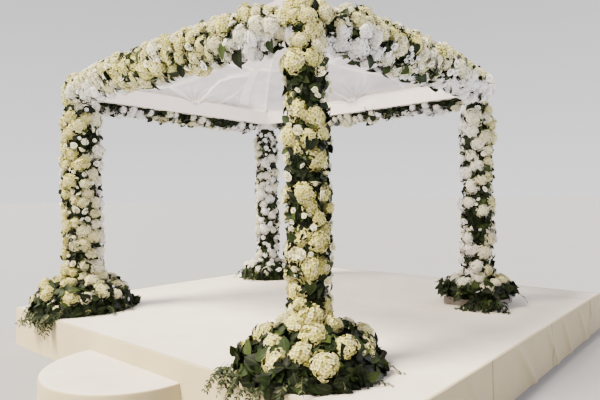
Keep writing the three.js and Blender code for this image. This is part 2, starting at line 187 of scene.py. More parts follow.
class Finish:
    """A material with a Principled shader, and short calls for the nodes that feed it."""

    def __init__(self, name, roughness=0.6, specular=0.4, sheen=0.0):
        self.material = bpy.data.materials.new(name)
        self.material.use_nodes = True
        self.tree = self.material.node_tree
        self.shader = self.tree.nodes["Principled BSDF"]
        self.output = self.tree.nodes["Material Output"]
        self.shader.inputs["Roughness"].default_value = roughness
        self.shader.inputs["Specular IOR Level"].default_value = specular
        self.shader.inputs["Sheen Weight"].default_value = sheen

    def feed(self, socket, value):
        if isinstance(value, bpy.types.NodeSocket):
            self.tree.links.new(value, socket)
        elif socket.type == "RGBA" and isinstance(value, tuple):
            socket.default_value = (*linear(value), 1.0)
        else:
            socket.default_value = value

    def node(self, kind, inputs, output=0, **settings):
        """Adds a node with these settings and inputs, and gives one of its outputs."""
        made = self.tree.nodes.new(kind)
        for key, value in settings.items():
            setattr(made, key, value)
        for key, value in inputs.items():
            self.feed(made.inputs[key], value)
        return made.outputs[output]

    def coords(self, scale=None):
        place = self.node("ShaderNodeTexCoord", {}, "Object")
        if scale is None:
            return place
        return self.node("ShaderNodeMapping", {"Vector": place, "Scale": scale}, "Vector")

    def noise(self, scale, detail=3.0, vector=None, distortion=0.0):
        place = vector or self.coords()
        inputs = {"Vector": place, "Scale": scale, "Detail": detail, "Distortion": distortion}
        return self.node("ShaderNodeTexNoise", inputs, "Fac")

    def weave(self, scale, direction):
        inputs = {"Vector": self.coords(), "Scale": scale}
        return self.node("ShaderNodeTexWave", inputs, "Fac", bands_direction=direction)

    def attribute(self, name):
        return self.node("ShaderNodeAttribute", {}, "Fac", attribute_name=name)

    def island(self):
        return self.node("ShaderNodeNewGeometry", {}, "Random Per Island")

    def ramp(self, amount, stops):
        made = self.tree.nodes.new("ShaderNodeValToRGB")
        elements = made.color_ramp.elements
        while len(elements) < len(stops):
            elements.new(0.5)
        for element, (place, colour) in zip(elements, stops):
            element.position = place
            element.color = (*linear(colour), 1.0)
        self.feed(made.inputs["Fac"], amount)
        return made.outputs["Color"]

    def mix(self, amount, first, second, how="MIX"):
        inputs = {0: amount, 6: first, 7: second}
        return self.node("ShaderNodeMix", inputs, 2, data_type="RGBA", blend_type=how)

    def math(self, how, first, second, clamp=False):
        return self.node("ShaderNodeMath", {0: first, 1: second}, operation=how, use_clamp=clamp)

    def span(self, value, low, high, to_low=0.0, to_high=1.0):
        """A value from low to high, brought to the range of the last two."""
        inputs = {"Value": value, "From Min": low, "From Max": high, "To Min": to_low, "To Max": to_high}
        return self.node("ShaderNodeMapRange", inputs, "Result")

    def colour(self, value):
        self.feed(self.shader.inputs["Base Color"], value)

    def roughness(self, value):
        self.feed(self.shader.inputs["Roughness"], value)

    def bump(self, height, distance):
        normal = self.node("ShaderNodeBump", {"Height": height, "Distance": distance}, "Normal")
        self.feed(self.shader.inputs["Normal"], normal)

    def surface(self, first, second, share):
        """Shows a mix of two shaders."""
        both = self.node("ShaderNodeMixShader", {0: share, 1: first, 2: second})
        self.feed(self.output.inputs["Surface"], both)
        return both

    def let_light_through(self, colour, share):
        through = self.node("ShaderNodeBsdfTranslucent", {"Color": colour})
        return self.surface(self.shader.outputs[0], through, share)

    def let_sight_through(self, solid, share):
        self.surface(solid, self.node("ShaderNodeBsdfTransparent", {}), share)


def petal_finish():
    finish = Finish("petals", roughness=0.62, specular=0.25)
    cream = finish.ramp(finish.island(), [
        (0.0, (222, 218, 120)),
        (0.3, (238, 231, 145)),
        (0.7, (247, 239, 172)),
        (1.0, (252, 246, 206)),
    ])
    white = finish.ramp(finish.island(), [(0.0, (244, 243, 245)), (1.0, (253, 253, 254))])
    # The tone attribute whitens flowers: partly their own white, mostly painted uplight by the corners and
    # underneath
    edge = finish.mix(finish.attribute("tone"), cream, white)
    # Florets' hearts and the ball under them: greener, and darker as painted shade in the crevices between
    # florets
    heart_and_crevice_shade = finish.mix(finish.attribute("tone"), (128, 126, 66), (198, 198, 204))
    colour = finish.mix(finish.attribute("tip"), heart_and_crevice_shade, edge)
    finish.colour(colour)
    finish.bump(finish.noise(420, 2), 0.0006)
    finish.let_light_through(colour, 0.20)
    return finish.material


def leaf_finish(name, shades, gloss, midrib):
    finish = Finish(name, roughness=gloss, specular=0.12)
    green = finish.ramp(finish.island(), shades)
    mottle = finish.span(finish.noise(55, 3), 0.3, 0.7, 0.75, 1.2)
    mottled = finish.mix(1.0, green, mottle, "MULTIPLY")
    by_midrib = finish.span(finish.attribute("tip"), 0.0, 0.14, midrib, 0.0)
    colour = finish.mix(by_midrib, mottled, (74, 88, 48))
    finish.colour(colour)
    finish.bump(finish.noise(160, 3), 0.0008)
    finish.let_light_through(colour, 0.06)
    return finish.material


def plain_finish(name, roughness, specular, grain, stops, bump=None):
    """A finish whose colours follow a noise of a scale and detail. A bump has its own, and a depth."""
    finish = Finish(name, roughness, specular)
    finish.colour(finish.ramp(finish.noise(*grain), stops))
    if bump:
        scale, detail, depth = bump
        finish.bump(finish.noise(scale, detail), depth)
    return finish.material


def stage_cloth_finish(name, pale, shade, seam):
    finish = Finish(name, roughness=0.85, specular=0.2, sheen=0.15)
    broad = finish.span(finish.noise(0.9, 4, distortion=0.6), 0.3, 0.7, 0.0, 0.6)
    smudge = finish.span(finish.noise(5.5, 6), 0.35, 0.75)
    colour = finish.mix(broad, pale, shade)
    colour = finish.mix(finish.math("MULTIPLY", smudge, 0.14), colour, (150, 136, 122))
    # The tip attribute lays the seam colour: painted shade by the seams
    finish.colour(finish.mix(finish.attribute("tip"), colour, seam))
    threads = finish.math("MULTIPLY", finish.weave(900, "X"), finish.weave(900, "Y"))
    wrinkle = finish.noise(7, 5, distortion=1.2)
    height = finish.math("ADD", finish.math("MULTIPLY", threads, 0.08), wrinkle)
    finish.bump(height, 0.002)
    return finish.material


def sheer_finish():
    """Thin cloth, greyer and clearer where it is single and flat, whiter where folds gather it and where
    uplight glow is painted on it.
    """
    finish = Finish("sheer voile", roughness=0.7, specular=0.2, sheen=0.3)
    dense = finish.attribute("tip")
    streak = finish.span(finish.noise(3.0, 4, finish.coords((1.0, 1.0, 4.0))), 0.3, 0.7, -0.10, 0.14)
    amount = finish.math("ADD", dense, streak, True)
    colour = finish.mix(amount, (182, 174, 186), (252, 249, 252))
    finish.colour(colour)
    finish.bump(finish.noise(260, 2), 0.0005)
    solid = finish.let_light_through(colour, 0.4)
    finish.let_sight_through(solid, finish.span(amount, 0.0, 0.7, 0.38, 0.02))
    return finish.material


def swag_finish():
    finish = Finish("swag cloth", roughness=0.75, specular=0.2, sheen=0.3)
    colour = finish.ramp(finish.noise(6, 3), [(0.3, (244, 241, 243)), (0.7, (252, 251, 252))])
    finish.colour(colour)
    finish.bump(finish.noise(12, 4, distortion=1.0), 0.004)
    finish.let_light_through(colour, 0.3)
    return finish.material


def paint_finish(name, colour, worn):
    finish = Finish(name, roughness=0.42, specular=0.4)
    grain = finish.noise(9, 5)
    finish.colour(finish.mix(finish.span(grain, 0.45, 0.75, 0.0, 0.35), colour, worn))
    finish.roughness(finish.span(grain, 0.3, 0.7, 0.36, 0.55))
    finish.bump(finish.noise(140, 4), 0.0006)
    return finish.material


def wood_finish():
    finish = Finish("plywood", roughness=0.65)
    rings = finish.noise(6, 6, finish.coords((1.0, 14.0, 14.0)), 0.8)
    finish.colour(finish.ramp(rings, [
        (0.3, (150, 118, 78)),
        (0.6, (196, 164, 118)),
        (0.8, (214, 186, 142)),
    ]))
    finish.bump(rings, 0.001)
    return finish.material


def steel_finish():
    finish = Finish("galvanised steel", roughness=0.45, specular=0.5)
    finish.shader.inputs["Metallic"].default_value = 0.8
    spangle = finish.noise(24, 3)
    finish.colour(finish.ramp(spangle, [(0.35, (120, 122, 126)), (0.65, (164, 167, 171))]))
    finish.roughness(finish.span(spangle, 0.3, 0.7, 0.35, 0.6))
    return finish.material


PETALS = petal_finish()
LEAVES = leaf_finish("broad leaves", [
    (0.0, (8, 13, 6)),
    (0.5, (18, 28, 12)),
    (0.88, (33, 46, 20)),
    (1.0, (52, 64, 28)),
], 0.55, 0.30)
SPRIGS = leaf_finish("sprig leaves", [
    (0.0, (16, 24, 11)),
    (0.7, (36, 48, 25)),
    (1.0, (96, 100, 66)),
], 0.55, 0.10)
# The moss core is near black: the moss filling, darkened as painted shade deep between the flowers
MOSS_AND_SHADE_CORE = plain_finish("moss core", 0.9, 0.1, (38, 5), [(0.35, (10, 13, 8)), (0.6, (26, 34, 19))], (60, 4, 0.02))
STEMS = plain_finish("stems", 0.6, 0.4, (30, 2), [(0.3, (64, 70, 40)), (0.7, (92, 90, 58))])
# The last colour of each cloth is painted shade along its seams
COVER_COLOURS = ((223, 216, 209), (213, 204, 196), (168, 158, 150))
# The skirts are the same cloth as the cover, darker and yellower: painted warm light and shade on the hanging
# sides
SKIRT_SHADED_COLOURS = ((188, 177, 146), (174, 163, 132), (109, 100, 81))
COVER_CLOTH = stage_cloth_finish("stage cover cloth", *COVER_COLOURS)
SKIRT_SHADED_CLOTH = stage_cloth_finish("skirt cloth with painted shade", *SKIRT_SHADED_COLOURS)
VOILE = sheer_finish()
SWAG_CLOTH = swag_finish()
PAINT = paint_finish("white paint", (243, 236, 233), (224, 216, 212))
RIB_PAINT = paint_finish("rib paint", (236, 233, 234), (212, 208, 208))
TRAY_PAINT = paint_finish("grey paint", (116, 111, 107), (92, 88, 84))
PLYWOOD = wood_finish()
STEEL = steel_finish()
FLORAL = [PETALS, LEAVES, SPRIGS, MOSS_AND_SHADE_CORE, STEMS]
PETAL, LEAF, SPRIG, MOSS_AND_SHADE, STEM = range(5)


# Meshes from arrays


class Shape:
    """Points, polygons with their materials, and two shares a point: tip, from heart to edge, and tone."""

    def __init__(self, points, corners, counts, finishes, tip, tone=None):
        self.points = np.asarray(points, float)
        self.corners = np.asarray(corners, int)
        self.counts = np.asarray(counts, int)
        self.finishes = np.asarray(finishes, int)
        self.tip = np.asarray(tip, float)
        self.tone = np.zeros(len(self.points)) if tone is None else np.asarray(tone, float)

    @staticmethod
    def of(points, polygons, finish, tip):
        corners = [corner for polygon in polygons for corner in polygon]
        counts = [len(polygon) for polygon in polygons]
        return Shape(points, corners, counts, [finish] * len(polygons), tip)

    @staticmethod
    def grid(points, finish, tip=0.0, closed=False):
        """A sheet from rows of points, which close into a tube if asked."""
        rows, columns = points.shape[:2]
        index = np.arange(rows * columns).reshape(rows, columns)
        if closed:
            index = np.concatenate([index, index[:, :1]], axis=1)
        quads = np.stack([index[:-1, :-1], index[:-1, 1:], index[1:, 1:], index[1:, :-1]], axis=-1)
        quads = quads.reshape(-1, 4)
        tips = np.full(rows * columns, tip) if np.isscalar(tip) else np.asarray(tip).reshape(-1)
        return Shape(points.reshape(-1, 3), quads.reshape(-1), [4] * len(quads), [finish] * len(quads), tips)

    @staticmethod
    def joined(shapes):
        starts = np.cumsum([0] + [len(shape.points) for shape in shapes[:-1]])
        corners = np.concatenate([shape.corners + start for shape, start in zip(shapes, starts)])
        points, counts, finishes, tip, tone = (
            np.concatenate([getattr(shape, field) for shape in shapes])
            for field in ("points", "counts", "finishes", "tip", "tone")
        )
        return Shape(points, corners, counts, finishes, tip, tone)

    def copies(self, places, turns, sizes, tones=None):
        count = len(places)
        sizes = np.broadcast_to(np.asarray(sizes, float).reshape(-1, 1, 1), (count, 1, 1))
        points = np.einsum("mij,mnj->mni", turns, self.points[None] * sizes) + places[:, None, :]
        starts = np.arange(count)[:, None] * len(self.points)
        tone = np.tile(self.tone, count) if tones is None else np.repeat(tones, len(self.points))
        return Shape(
            points.reshape(-1, 3),
            (self.corners[None] + starts).reshape(-1),
            np.tile(self.counts, count),
            np.tile(self.finishes, count),
            np.tile(self.tip, count),
            tone,
        )


def add_object(name, shape, materials):
    mesh = bpy.data.meshes.new(name)
    mesh.vertices.add(len(shape.points))
    mesh.vertices.foreach_set("co", shape.points.astype(np.float32).reshape(-1))
    mesh.loops.add(len(shape.corners))
    mesh.loops.foreach_set("vertex_index", shape.corners.astype(np.int32))
    mesh.polygons.add(len(shape.counts))
    starts = np.concatenate([[0], np.cumsum(shape.counts)[:-1]])
    mesh.polygons.foreach_set("loop_start", starts.astype(np.int32))
    mesh.polygons.foreach_set("material_index", shape.finishes.astype(np.int32))
    mesh.polygons.foreach_set("use_smooth", np.full(len(shape.counts), True))
    for label, values in (("tip", shape.tip), ("tone", shape.tone)):
        mesh.attributes.new(label, "FLOAT", "POINT").data.foreach_set("value", values.astype(np.float32))
    for material in materials:
        mesh.materials.append(material)
    mesh.update(calc_edges=True)
    mesh.validate()
    made = bpy.data.objects.new(name, mesh)
    bpy.context.scene.collection.objects.link(made)
    return made


def add_piece(name, shape, materials, replaced=()):
    made = add_object(name, shape, materials)
    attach(made, "root")
    if replaced:
        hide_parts(*replaced)
    return made


def unit(vectors):
    return vectors / np.maximum(np.linalg.norm(vectors, axis=-1, keepdims=True), 1e-9)


def frames_from(forward, facing):
    """Turns with +X along forward and +Z as near to facing as it can be."""
    x = unit(forward)
    z = unit(facing - (facing * x).sum(-1, keepdims=True) * x)
    return np.stack([x, np.cross(z, x), z], axis=-1)


def facing_out(normals, tilt):
    """Turns with +Z near each normal, tilted at random and spun at random."""
    z = unit(normals + rng.normal(0, tilt, normals.shape))
    side = unit(np.cross(z, rng.normal(0, 1, normals.shape)))
    return np.stack([side, np.cross(z, side), z], axis=-1)


def turned_z(angles):
    """Turns about Z."""
    cos, sin = np.cos(angles), np.sin(angles)
    return np.stack([xyz(cos, -sin, 0), xyz(sin, cos, 0), xyz(np.zeros_like(cos), 0, 1)], axis=-2)


LATTICE_CELLS = 32
LATTICE_SHIFT = 500.0


def lattice(points, scale, seed):
    """Smooth noise from 0 to 1 at each point, from random values on a grid."""
    table = np.random.default_rng(seed).random((LATTICE_CELLS,) * 3)
    spot = points * scale + LATTICE_SHIFT
    cell = np.floor(spot).astype(int)
    part = spot - cell
    part = part * part * (3 - 2 * part)
    total = 0.0
    for steps in product((0, 1), repeat=3):
        weight = np.ones(len(points))
        for axis, step in enumerate(steps):
            weight = weight * (part[:, axis] if step else 1 - part[:, axis])
        total = total + weight * table[tuple(((cell + steps) % LATTICE_CELLS).T)]
    return total


# Flowers and leaves, each of radius or length 1


def floret():
    """Four broad petals round a heart."""
    petal = np.array([[0.56, -0.46, 0.12], [1.0, 0.0, 0.0], [0.56, 0.46, 0.12]])
    points, polygons, tip = [[0, 0, 0]], [], [0.0]
    for k in range(4):
        start = len(points)
        points += list(petal @ turned_z(np.array([k * math.pi / 2]))[0].T)
        tip += [0.7, 1.0, 0.7]
        polygons.append([0, start, start + 1, start + 2])
    return Shape.of(points, polygons, PETAL, tip)


def ball(segments, rings, finish, tip):
    around = np.linspace(0, 2 * math.pi, segments, endpoint=False)
    up = np.linspace(-math.pi / 2 * 0.98, math.pi / 2 * 0.98, rings)
    points = round_z(around, np.cos(up)[:, None], np.sin(up)[:, None])
    return Shape.grid(points, finish, tip, closed=True)


# A head's florets: how many, how far round its ball they reach, and their size
FLORETS = 50
FLORET_REACH = 0.60
FLORET_SIZE = 0.26


def hydrangea_head():
    """Florets spread by the golden angle over the lumpy dome of a ball."""
    seed = int(rng.integers(1000))

    def lumps(normals):
        return 1 + 0.44 * (lattice(normals, 1.4, seed) - 0.5) + 0.22 * (lattice(normals, 3.1, seed + 1) - 0.5)

    order = np.arange(FLORETS) + 0.5
    height = 1 - order / FLORETS * 2 * FLORET_REACH
    around = order * math.pi * (3 - math.sqrt(5))
    run = np.sqrt(np.maximum(1 - height ** 2, 0))
    normals = round_z(around, run, height)
    places = normals * (lumps(normals) + rng.normal(0, 0.035, FLORETS))[:, None] * 0.92
    turns = facing_out(normals, 0.26)
    heads = floret().copies(places, turns, rng.uniform(0.88, 1.15, FLORETS) * FLORET_SIZE)
    # The ball under the florets takes the dark heart colour: painted shade between them
    inner = ball(8, 6, PETAL, 0.12)
    inner.points *= lumps(inner.points)[:, None] * 0.84
    whole = Shape.joined([inner, heads])
    whole.points *= rng.uniform(0.9, 1.1, 3) * np.array([1.0, 1.0, 0.92])
    return whole


PETAL_COLUMNS = 3


def cupped_petal(radius, height, width, flare, ruffle, rows):
    u = np.linspace(-1, 1, PETAL_COLUMNS)[None]
    v = np.linspace(0, 1, rows)[:, None]
    angle = u * width * (0.55 + 0.45 * v)
    run = radius * (0.3 + 0.7 * v ** 0.8) + flare * v ** 2 - 0.06 * u ** 2 * v
    run = run + ruffle * v ** 2 * rng.normal(0, 1, (rows, PETAL_COLUMNS))
    rise = height * v - 0.35 * flare * v ** 3 - 0.10 * u ** 2 * v
    points = round_z(angle, run, rise)
    return Shape.grid(points, PETAL, np.broadcast_to(0.3 + 0.7 * v, (rows, PETAL_COLUMNS)))


# Rings of petals from the outside in: how many, how far out, how tall, how wide, and how far they flare
ROSE_RINGS = [(6, 0.84, 0.34, 0.66, 0.20), (5, 0.66, 0.62, 0.72, 0.08), (4, 0.44, 0.80, 0.90, 0.02)]
RUFFLED_RINGS = [(6, 0.82, 0.26, 0.62, 0.32), (6, 0.64, 0.54, 0.58, 0.16), (5, 0.42, 0.72, 0.66, 0.08)]
SMALL_RINGS = [(5, 0.78, 0.30, 0.66, 0.24), (4, 0.46, 0.62, 0.8, 0.06)]

# Blooms: their rings, how ruffled they are, their petals' rows of points, and their heart's width
ROSE = (ROSE_RINGS, 0.05, 3, 0.30)
RUFFLED = (RUFFLED_RINGS, 0.11, 3, 0.26)
SMALL = (SMALL_RINGS, 0.10, 2, 0.30)


def bloom(rings, ruffle, rows, heart):
    """Rings of cupped petals round a bud."""
    bud = ball(6, 5, PETAL, 0.62)
    bud.points = bud.points * np.array([heart, heart, 0.30]) + UP * (rings[-1][2] - 0.24)
    parts = [bud]
    for count, radius, height, width, flare in rings:
        start = rng.uniform(0, 2 * math.pi)
        for k in range(count):
            petal = cupped_petal(radius, height, width, flare, ruffle, rows)
            turn = turned_z(np.array([start + k * 2 * math.pi / count + rng.normal(0, 0.12)]))
            parts.append(petal.copies(np.zeros((1, 3)), turn, 1.0))
    return Shape.joined(parts)


def leaf(width, fold, droop, finish=LEAF):
    """A leaf along +X, folded up from its midrib and drooping to its tip."""
    points, tip = [[0, 0, 0]], [0.0]
    for x in (0.28, 0.55, 0.80):
        half = width * math.sin(math.pi * x ** 0.82)
        sag = -droop * x * x
        points += [[x, -half, sag + fold * half], [x, 0, sag], [x, half, sag + fold * half]]
        tip += [1.0, 0.0, 1.0]
    points.append([1.0, 0, -droop])
    tip.append(0.6)
    polygons = [[0, 2, 1], [0, 3, 2]]
    for row in (1, 4):
        polygons += [[row, row + 1, row + 4, row + 3], [row + 1, row + 2, row + 5, row + 4]]
    polygons += [[7, 8, 10], [8, 9, 10]]
    return Shape.of(points, [polygon[::-1] for polygon in polygons], finish, tip)


def heart_leaf():
    """A broad leaf along +X with two round lobes at its stalk."""
    rim = [(-0.16, 0.22), (-0.06, 0.46), (0.20, 0.54), (0.52, 0.42), (0.80, 0.20)]
    points, tip = [[0, 0, 0], [0.5, 0, -0.05], [1.0, 0, -0.16]], [0.0, 0.0, 0.6]
    for side in (1, -1):
        points += [[x, side * y, 0.28 * y - 0.16 * max(x, 0) ** 2] for x, y in rim]
        tip += [1.0] * len(rim)
    left, right = [3, 4, 5, 6, 7], [8, 9, 10, 11, 12]
    polygons = [[0, 1, left[2], left[1], left[0]], [1, 2, left[4], left[3], left[2]]]
    polygons += [[right[0], right[1], right[2], 1, 0], [right[2], right[3], right[4], 2, 1]]
    return Shape.of(points, polygons, LEAF, tip)


HEADS = [hydrangea_head() for _ in range(5)]
ROSES = [bloom(*kind) for kind in (ROSE, RUFFLED, RUFFLED, RUFFLED)]
BLOOMS = [bloom(*SMALL) for _ in range(3)]
BROAD = [leaf(0.30, 0.45, 0.25), leaf(0.25, 0.6, 0.4), leaf(0.34, 0.3, 0.15)]
ROUND = [leaf(0.42, 0.25, 0.25), leaf(0.38, 0.35, 0.35), leaf(0.34, 0.45, 0.2)]
HEART = [heart_leaf()]
RUSCUS = leaf(0.17, 0.3, 0.2, SPRIG)
GREY_SPRAY = leaf(0.22, 0.2, 0.3, SPRIG)


# Where flowers can sit: points on the outer surface of a flower body, with the way out from it


def column_radius(corner, height):
    """A column's radius at a height: it narrows into the corner's cluster."""
    wide, narrow = COLUMN_RADIUS[corner], min(COLUMN_RADIUS[corner], CLUSTER_RADIUS[corner])
    return wide - (wide - narrow) * limited((height - CLUSTER_HEIGHT + 0.34) / 0.18)


def on_column(count, corner):
    angle = rng.uniform(0, 2 * math.pi, count)
    height = rng.uniform(DECK_TOP + 0.16, CLUSTER_HEIGHT - 0.06, count)
    out = round_z(angle, 1.0, 0.0)
    points = out * column_radius(corner, height)[:, None] + at_height(POSTS[corner], 0.0)
    points[:, 2] = height
    return points - out * (COLUMN_LUMPS * lattice(points, 7.0, 14))[:, None], out


def cluster_centre(corner):
    return at_height(POSTS[corner], CLUSTER_HEIGHT)


def on_cluster(count, corner):
    out = unit(rng.normal(0, 1, (count, 3)))
    return out * CLUSTER_RADIUS[corner] + cluster_centre(corner), out


def mound_scale(corner, margin):
    """A mound's radius, twice, and height, each less by a margin."""
    return np.array([MOUND_RADIUS[corner], MOUND_RADIUS[corner], MOUND_HEIGHT[corner]]) - margin


def on_mound(count, corner):
    around = rng.uniform(0, 2 * math.pi, count)
    rise = rng.uniform(0.02, 1.0, count)
    radius, height = MOUND_RADIUS[corner], MOUND_HEIGHT[corner]
    run = np.sqrt(1 - rise ** 2)
    points = round_z(around, radius * run, height * rise)
    out = unit(points / np.array([radius ** 2, radius ** 2, height ** 2]))
    return points + at_height(POSTS[corner], DECK_TOP), out


def garland_frame(side):
    """The garland's middle, the way along it, the way out, and half its length."""
    out = SIDES[side]
    half_out, half_along = half_spans(side)
    middle = at_height(CENTRE + out * (half_out + GARLAND_OUTWARD), GARLAND_HEIGHT)
    return middle, np.abs(way_along(side)), out, half_along - GARLAND_INSET


def garland_radius(distance, half):
    """The garland's radius at a distance from its middle: it is rounded at its two ends."""
    in_end = limited((half - np.abs(distance)) / GARLAND_END)
    return GARLAND_RADIUS * np.sqrt(np.maximum(1 - (1 - in_end) ** 2, 0.02))


def on_garland(count, side):
    middle, along, out, half = garland_frame(side)
    angle = rng.uniform(-math.pi, math.pi, count)
    distance = rng.uniform(-1, 1, count) * (half - 0.02)
    radius = garland_radius(distance, half)
    normals = np.cos(angle)[:, None] * out + np.sin(angle)[:, None] * UP
    if side in END_SINK:
        end, depth = END_SINK[side]
        by_end = limited(1 - (half - end * distance) / END_SINK_LENGTH)
        radius = radius - depth * np.minimum(by_end * 1.6, 1) * limited(normals[:, 2] + 0.5)
    points = middle + distance[:, None] * along + normals * radius[:, None]
    lean = np.sign(distance) * limited(1 - (half - np.abs(distance)) / GARLAND_END)
    return points, unit(normals + lean[:, None] * along)


def past_beams(points):
    """How far out each point is from the centre lines of the beams, along X and along Y."""
    return np.abs(points[:, :2] - CENTRE[:2]) - np.array([HALF_X, HALF_Y])


def clear_of_frame(points, reach):
    """True for what stays off the beams' inner faces, out of the roof and clear of the front swag."""
    past = past_beams(points)
    outward = past.max(-1)
    by_post = (past > -0.32).all(-1)
    under = np.clip(BEAM_LOW - points[:, 2], 0, None)
    width = np.sqrt(np.clip(reach ** 2 - under ** 2, 0, None))
    beside = outward - width > -HALF_POST + 0.008
    below = (under >= np.where(by_post, 0.4, 1.0) * reach) & (by_post | (outward > -0.03))
    low_inside = (under > 0) & ~by_post & (outward - 0.6 * reach < -0.09)
    by_swag = (points[:, 1] < CENTRE[1]) & (past[:, 1] < 0.10 + 0.5 * reach) & (under > 0) & ~by_post
    by_swag &= past[:, 1] > -0.2
    return (beside | below) & ~low_inside & ~by_swag


def in_column(points, margin):
    """True for what lies deeper than a margin in any column."""
    found = np.zeros(len(points), bool)
    for corner in CORNERS:
        run = length_of(points[:, :2] - POSTS[corner][:2])
        found |= (run < column_radius(corner, points[:, 2]) - margin) & (points[:, 2] < CLUSTER_HEIGHT)
    return found


def in_cluster(points, margin):
    """The same for the corners' clusters."""
    found = np.zeros(len(points), bool)
    for corner in CORNERS:
        found |= length_of(points - cluster_centre(corner)) < CLUSTER_RADIUS[corner] - margin
    return found


def in_garland(points, margin):
    """The same for the garlands."""
    found = np.zeros(len(points), bool)
    for side in SIDES:
        middle, along, _, half = garland_frame(side)
        offset = points - middle
        distance = (offset * along).sum(-1)
        across = offset - distance[:, None] * along
        radius = garland_radius(distance, half)
        found |= (length_of(across) < radius - margin) & (np.abs(distance) < half)
    return found


def in_mound(points, margin):
    """The same for the mounds."""
    found = np.zeros(len(points), bool)
    for corner in CORNERS:
        offset = (points - at_height(POSTS[corner], DECK_TOP)) / mound_scale(corner, margin)
        found |= length_of(offset) < 1
    return found


# Painted uplight that turns the beams' flowers white near each corner: how strongly, how far from the post, and
# how wide that zone is
UPLIT_WHITE_CORNERS = {
    "front_left": (0.9, 0.70, 0.40),
    "front_right": (1.2, 0.20, 0.45),
    "back_right": (1.1, 0.80, 0.50),
    "back_left": (0.9, 0.30, 0.60),
}


def whiteness_with_painted_uplight(points, normals):
    """How white the flowers are: partly their own colour, mostly painted uplight, white low on the beams near
    the corners, underneath them and inward on the posts.
    """
    x, y, z = points.T
    off_centre = xyz(x - CENTRE[0], y - CENTRE[1], 0.0)
    turned_in = -(normals * unit(off_centre)).sum(-1)
    corner_light, by_post = np.zeros(len(points)), np.zeros(len(points))
    for corner, (strength, middle, width) in UPLIT_WHITE_CORNERS.items():
        away = length_of(points[:, :2] - POSTS[corner][:2])
        corner_light = np.maximum(corner_light, strength * bell((away - middle) / width))
        by_post = np.maximum(by_post, limited(1.6 - away / 0.20))

    # On the beams: by the corners and on the right one where the flowers are low, and underneath
    low_side = limited((GARLAND_HEIGHT + 0.05 - z) / 0.12)
    right = (x - CENTRE[0] > HALF_X - 0.1).astype(float)
    underneath = limited((BEAM_LOW - z) / 0.04) * limited(turned_in * 2 + 0.6)
    on_beam = 0.04 + corner_light * low_side + right * (0.10 + 0.3 * low_side) + 0.6 * underneath
    on_beam = on_beam * (1 - 0.9 * by_post * limited(-turned_in * 2))

    # On the posts: inward, on the far ones, and on what faces back
    back = limited((y - CENTRE[1]) / HALF_Y * 0.5 + 0.5)
    on_post = 0.02 + 0.4 * turned_in + 0.5 * back + 0.55 * limited(normals[:, 1] - 0.35)
    base = np.where(z > BEAM_LOW - 0.16, on_beam, on_post)
    return limited(base + rng.normal(0, 0.12, len(points)))


# Laying flowers and leaves on a flower body


def mixed(shapes, kinds, points, turns, sizes, tones):
    """Copies of several shapes, each at the points of its own kind."""
    parts = []
    for kind, shape in enumerate(shapes):
        use = kinds == kind
        if use.any():
            parts.append(shape.copies(points[use], turns[use], sizes[use], tones[use]))
    return parts


def laid_flowers(shapes, points, normals, sizes, tilt, tones):
    """Flowers that face outward, tilted at random."""
    kinds = rng.integers(0, len(shapes), len(points))
    return mixed(shapes, kinds, points, facing_out(normals, tilt), sizes, tones)


def laid_leaves(shapes, points, normals, sizes, outward, hang):
    """Leaves that lie along the surface any way round, and point outward and hang as much as is given."""
    across = unit(np.cross(normals, rng.normal(0, 1, normals.shape)))
    forward = outward[:, None] * normals + across - UP * hang
    kinds = rng.integers(0, len(shapes), len(points))
    turns = frames_from(forward, normals + rng.normal(0, 0.35, normals.shape))
    return mixed(shapes, kinds, points, turns, sizes, np.zeros(len(points)))


def ring_round(side, over, turn):
    """Circles of radius 1 at these angles, one for each pair of directions."""
    return side[:, None] * np.cos(turn)[None, :, None] + over[:, None] * np.sin(turn)[None, :, None]


# Sprigs: their stems' radius, and how much they droop and wander at each step
STEM_RADIUS = 0.0016
SPRIG_DROOP = UP * -0.16
SPRIG_WANDER = 0.05


def sprigs(starts, ways, lengths, blade, blade_length, steps):
    """Trailing stems with leaves: they droop, lie on the deck and hang over its edge."""
    place, way = starts.copy(), unit(ways)
    pace = (lengths / steps)[:, None]
    line = [place.copy()]
    for _ in range(steps):
        way = unit(way + SPRIG_DROOP + rng.normal(0, SPRIG_WANDER, way.shape))
        place = place + way * pace
        flat = place[:, :2]
        on_deck = (flat > STAGE_LOW[:2] - 0.01).all(-1) & (flat < STAGE_HIGH[:2] + 0.01).all(-1)
        floor = np.where(on_deck, DECK_TOP + 0.014, 0.02)
        landed = place[:, 2] < floor
        place[landed, 2] = floor[landed]
        way[landed, 2] = np.maximum(way[landed, 2], 0.0)
        line.append(place.copy())
    line = np.array(line).transpose(1, 0, 2)
    parts = []
    turn = np.arange(3) * 2 * math.pi / 3
    for stem in line:
        ahead = unit(np.gradient(stem, axis=0))
        side = unit(np.cross(ahead, np.array([0.1, 0.2, 1.0])))
        over = np.cross(side, ahead)
        ring = ring_round(side, over, turn)
        parts.append(Shape.grid(stem[:, None] + ring * STEM_RADIUS, STEM, 0.5, closed=True))
        for hand in (-1, 1):
            use = np.arange(2, steps + 1)
            forward = 0.7 * ahead[use] + hand * 0.8 * side[use] + rng.normal(0, 0.2, (len(use), 3))
            facing = over[use] + rng.normal(0, 0.3, (len(use), 3))
            sizes = blade_length * np.linspace(1.1, 0.6, len(use)) * rng.uniform(0.8, 1.15, len(use))
            parts.append(blade.copies(stem[use], frames_from(forward, facing), sizes))
    return parts


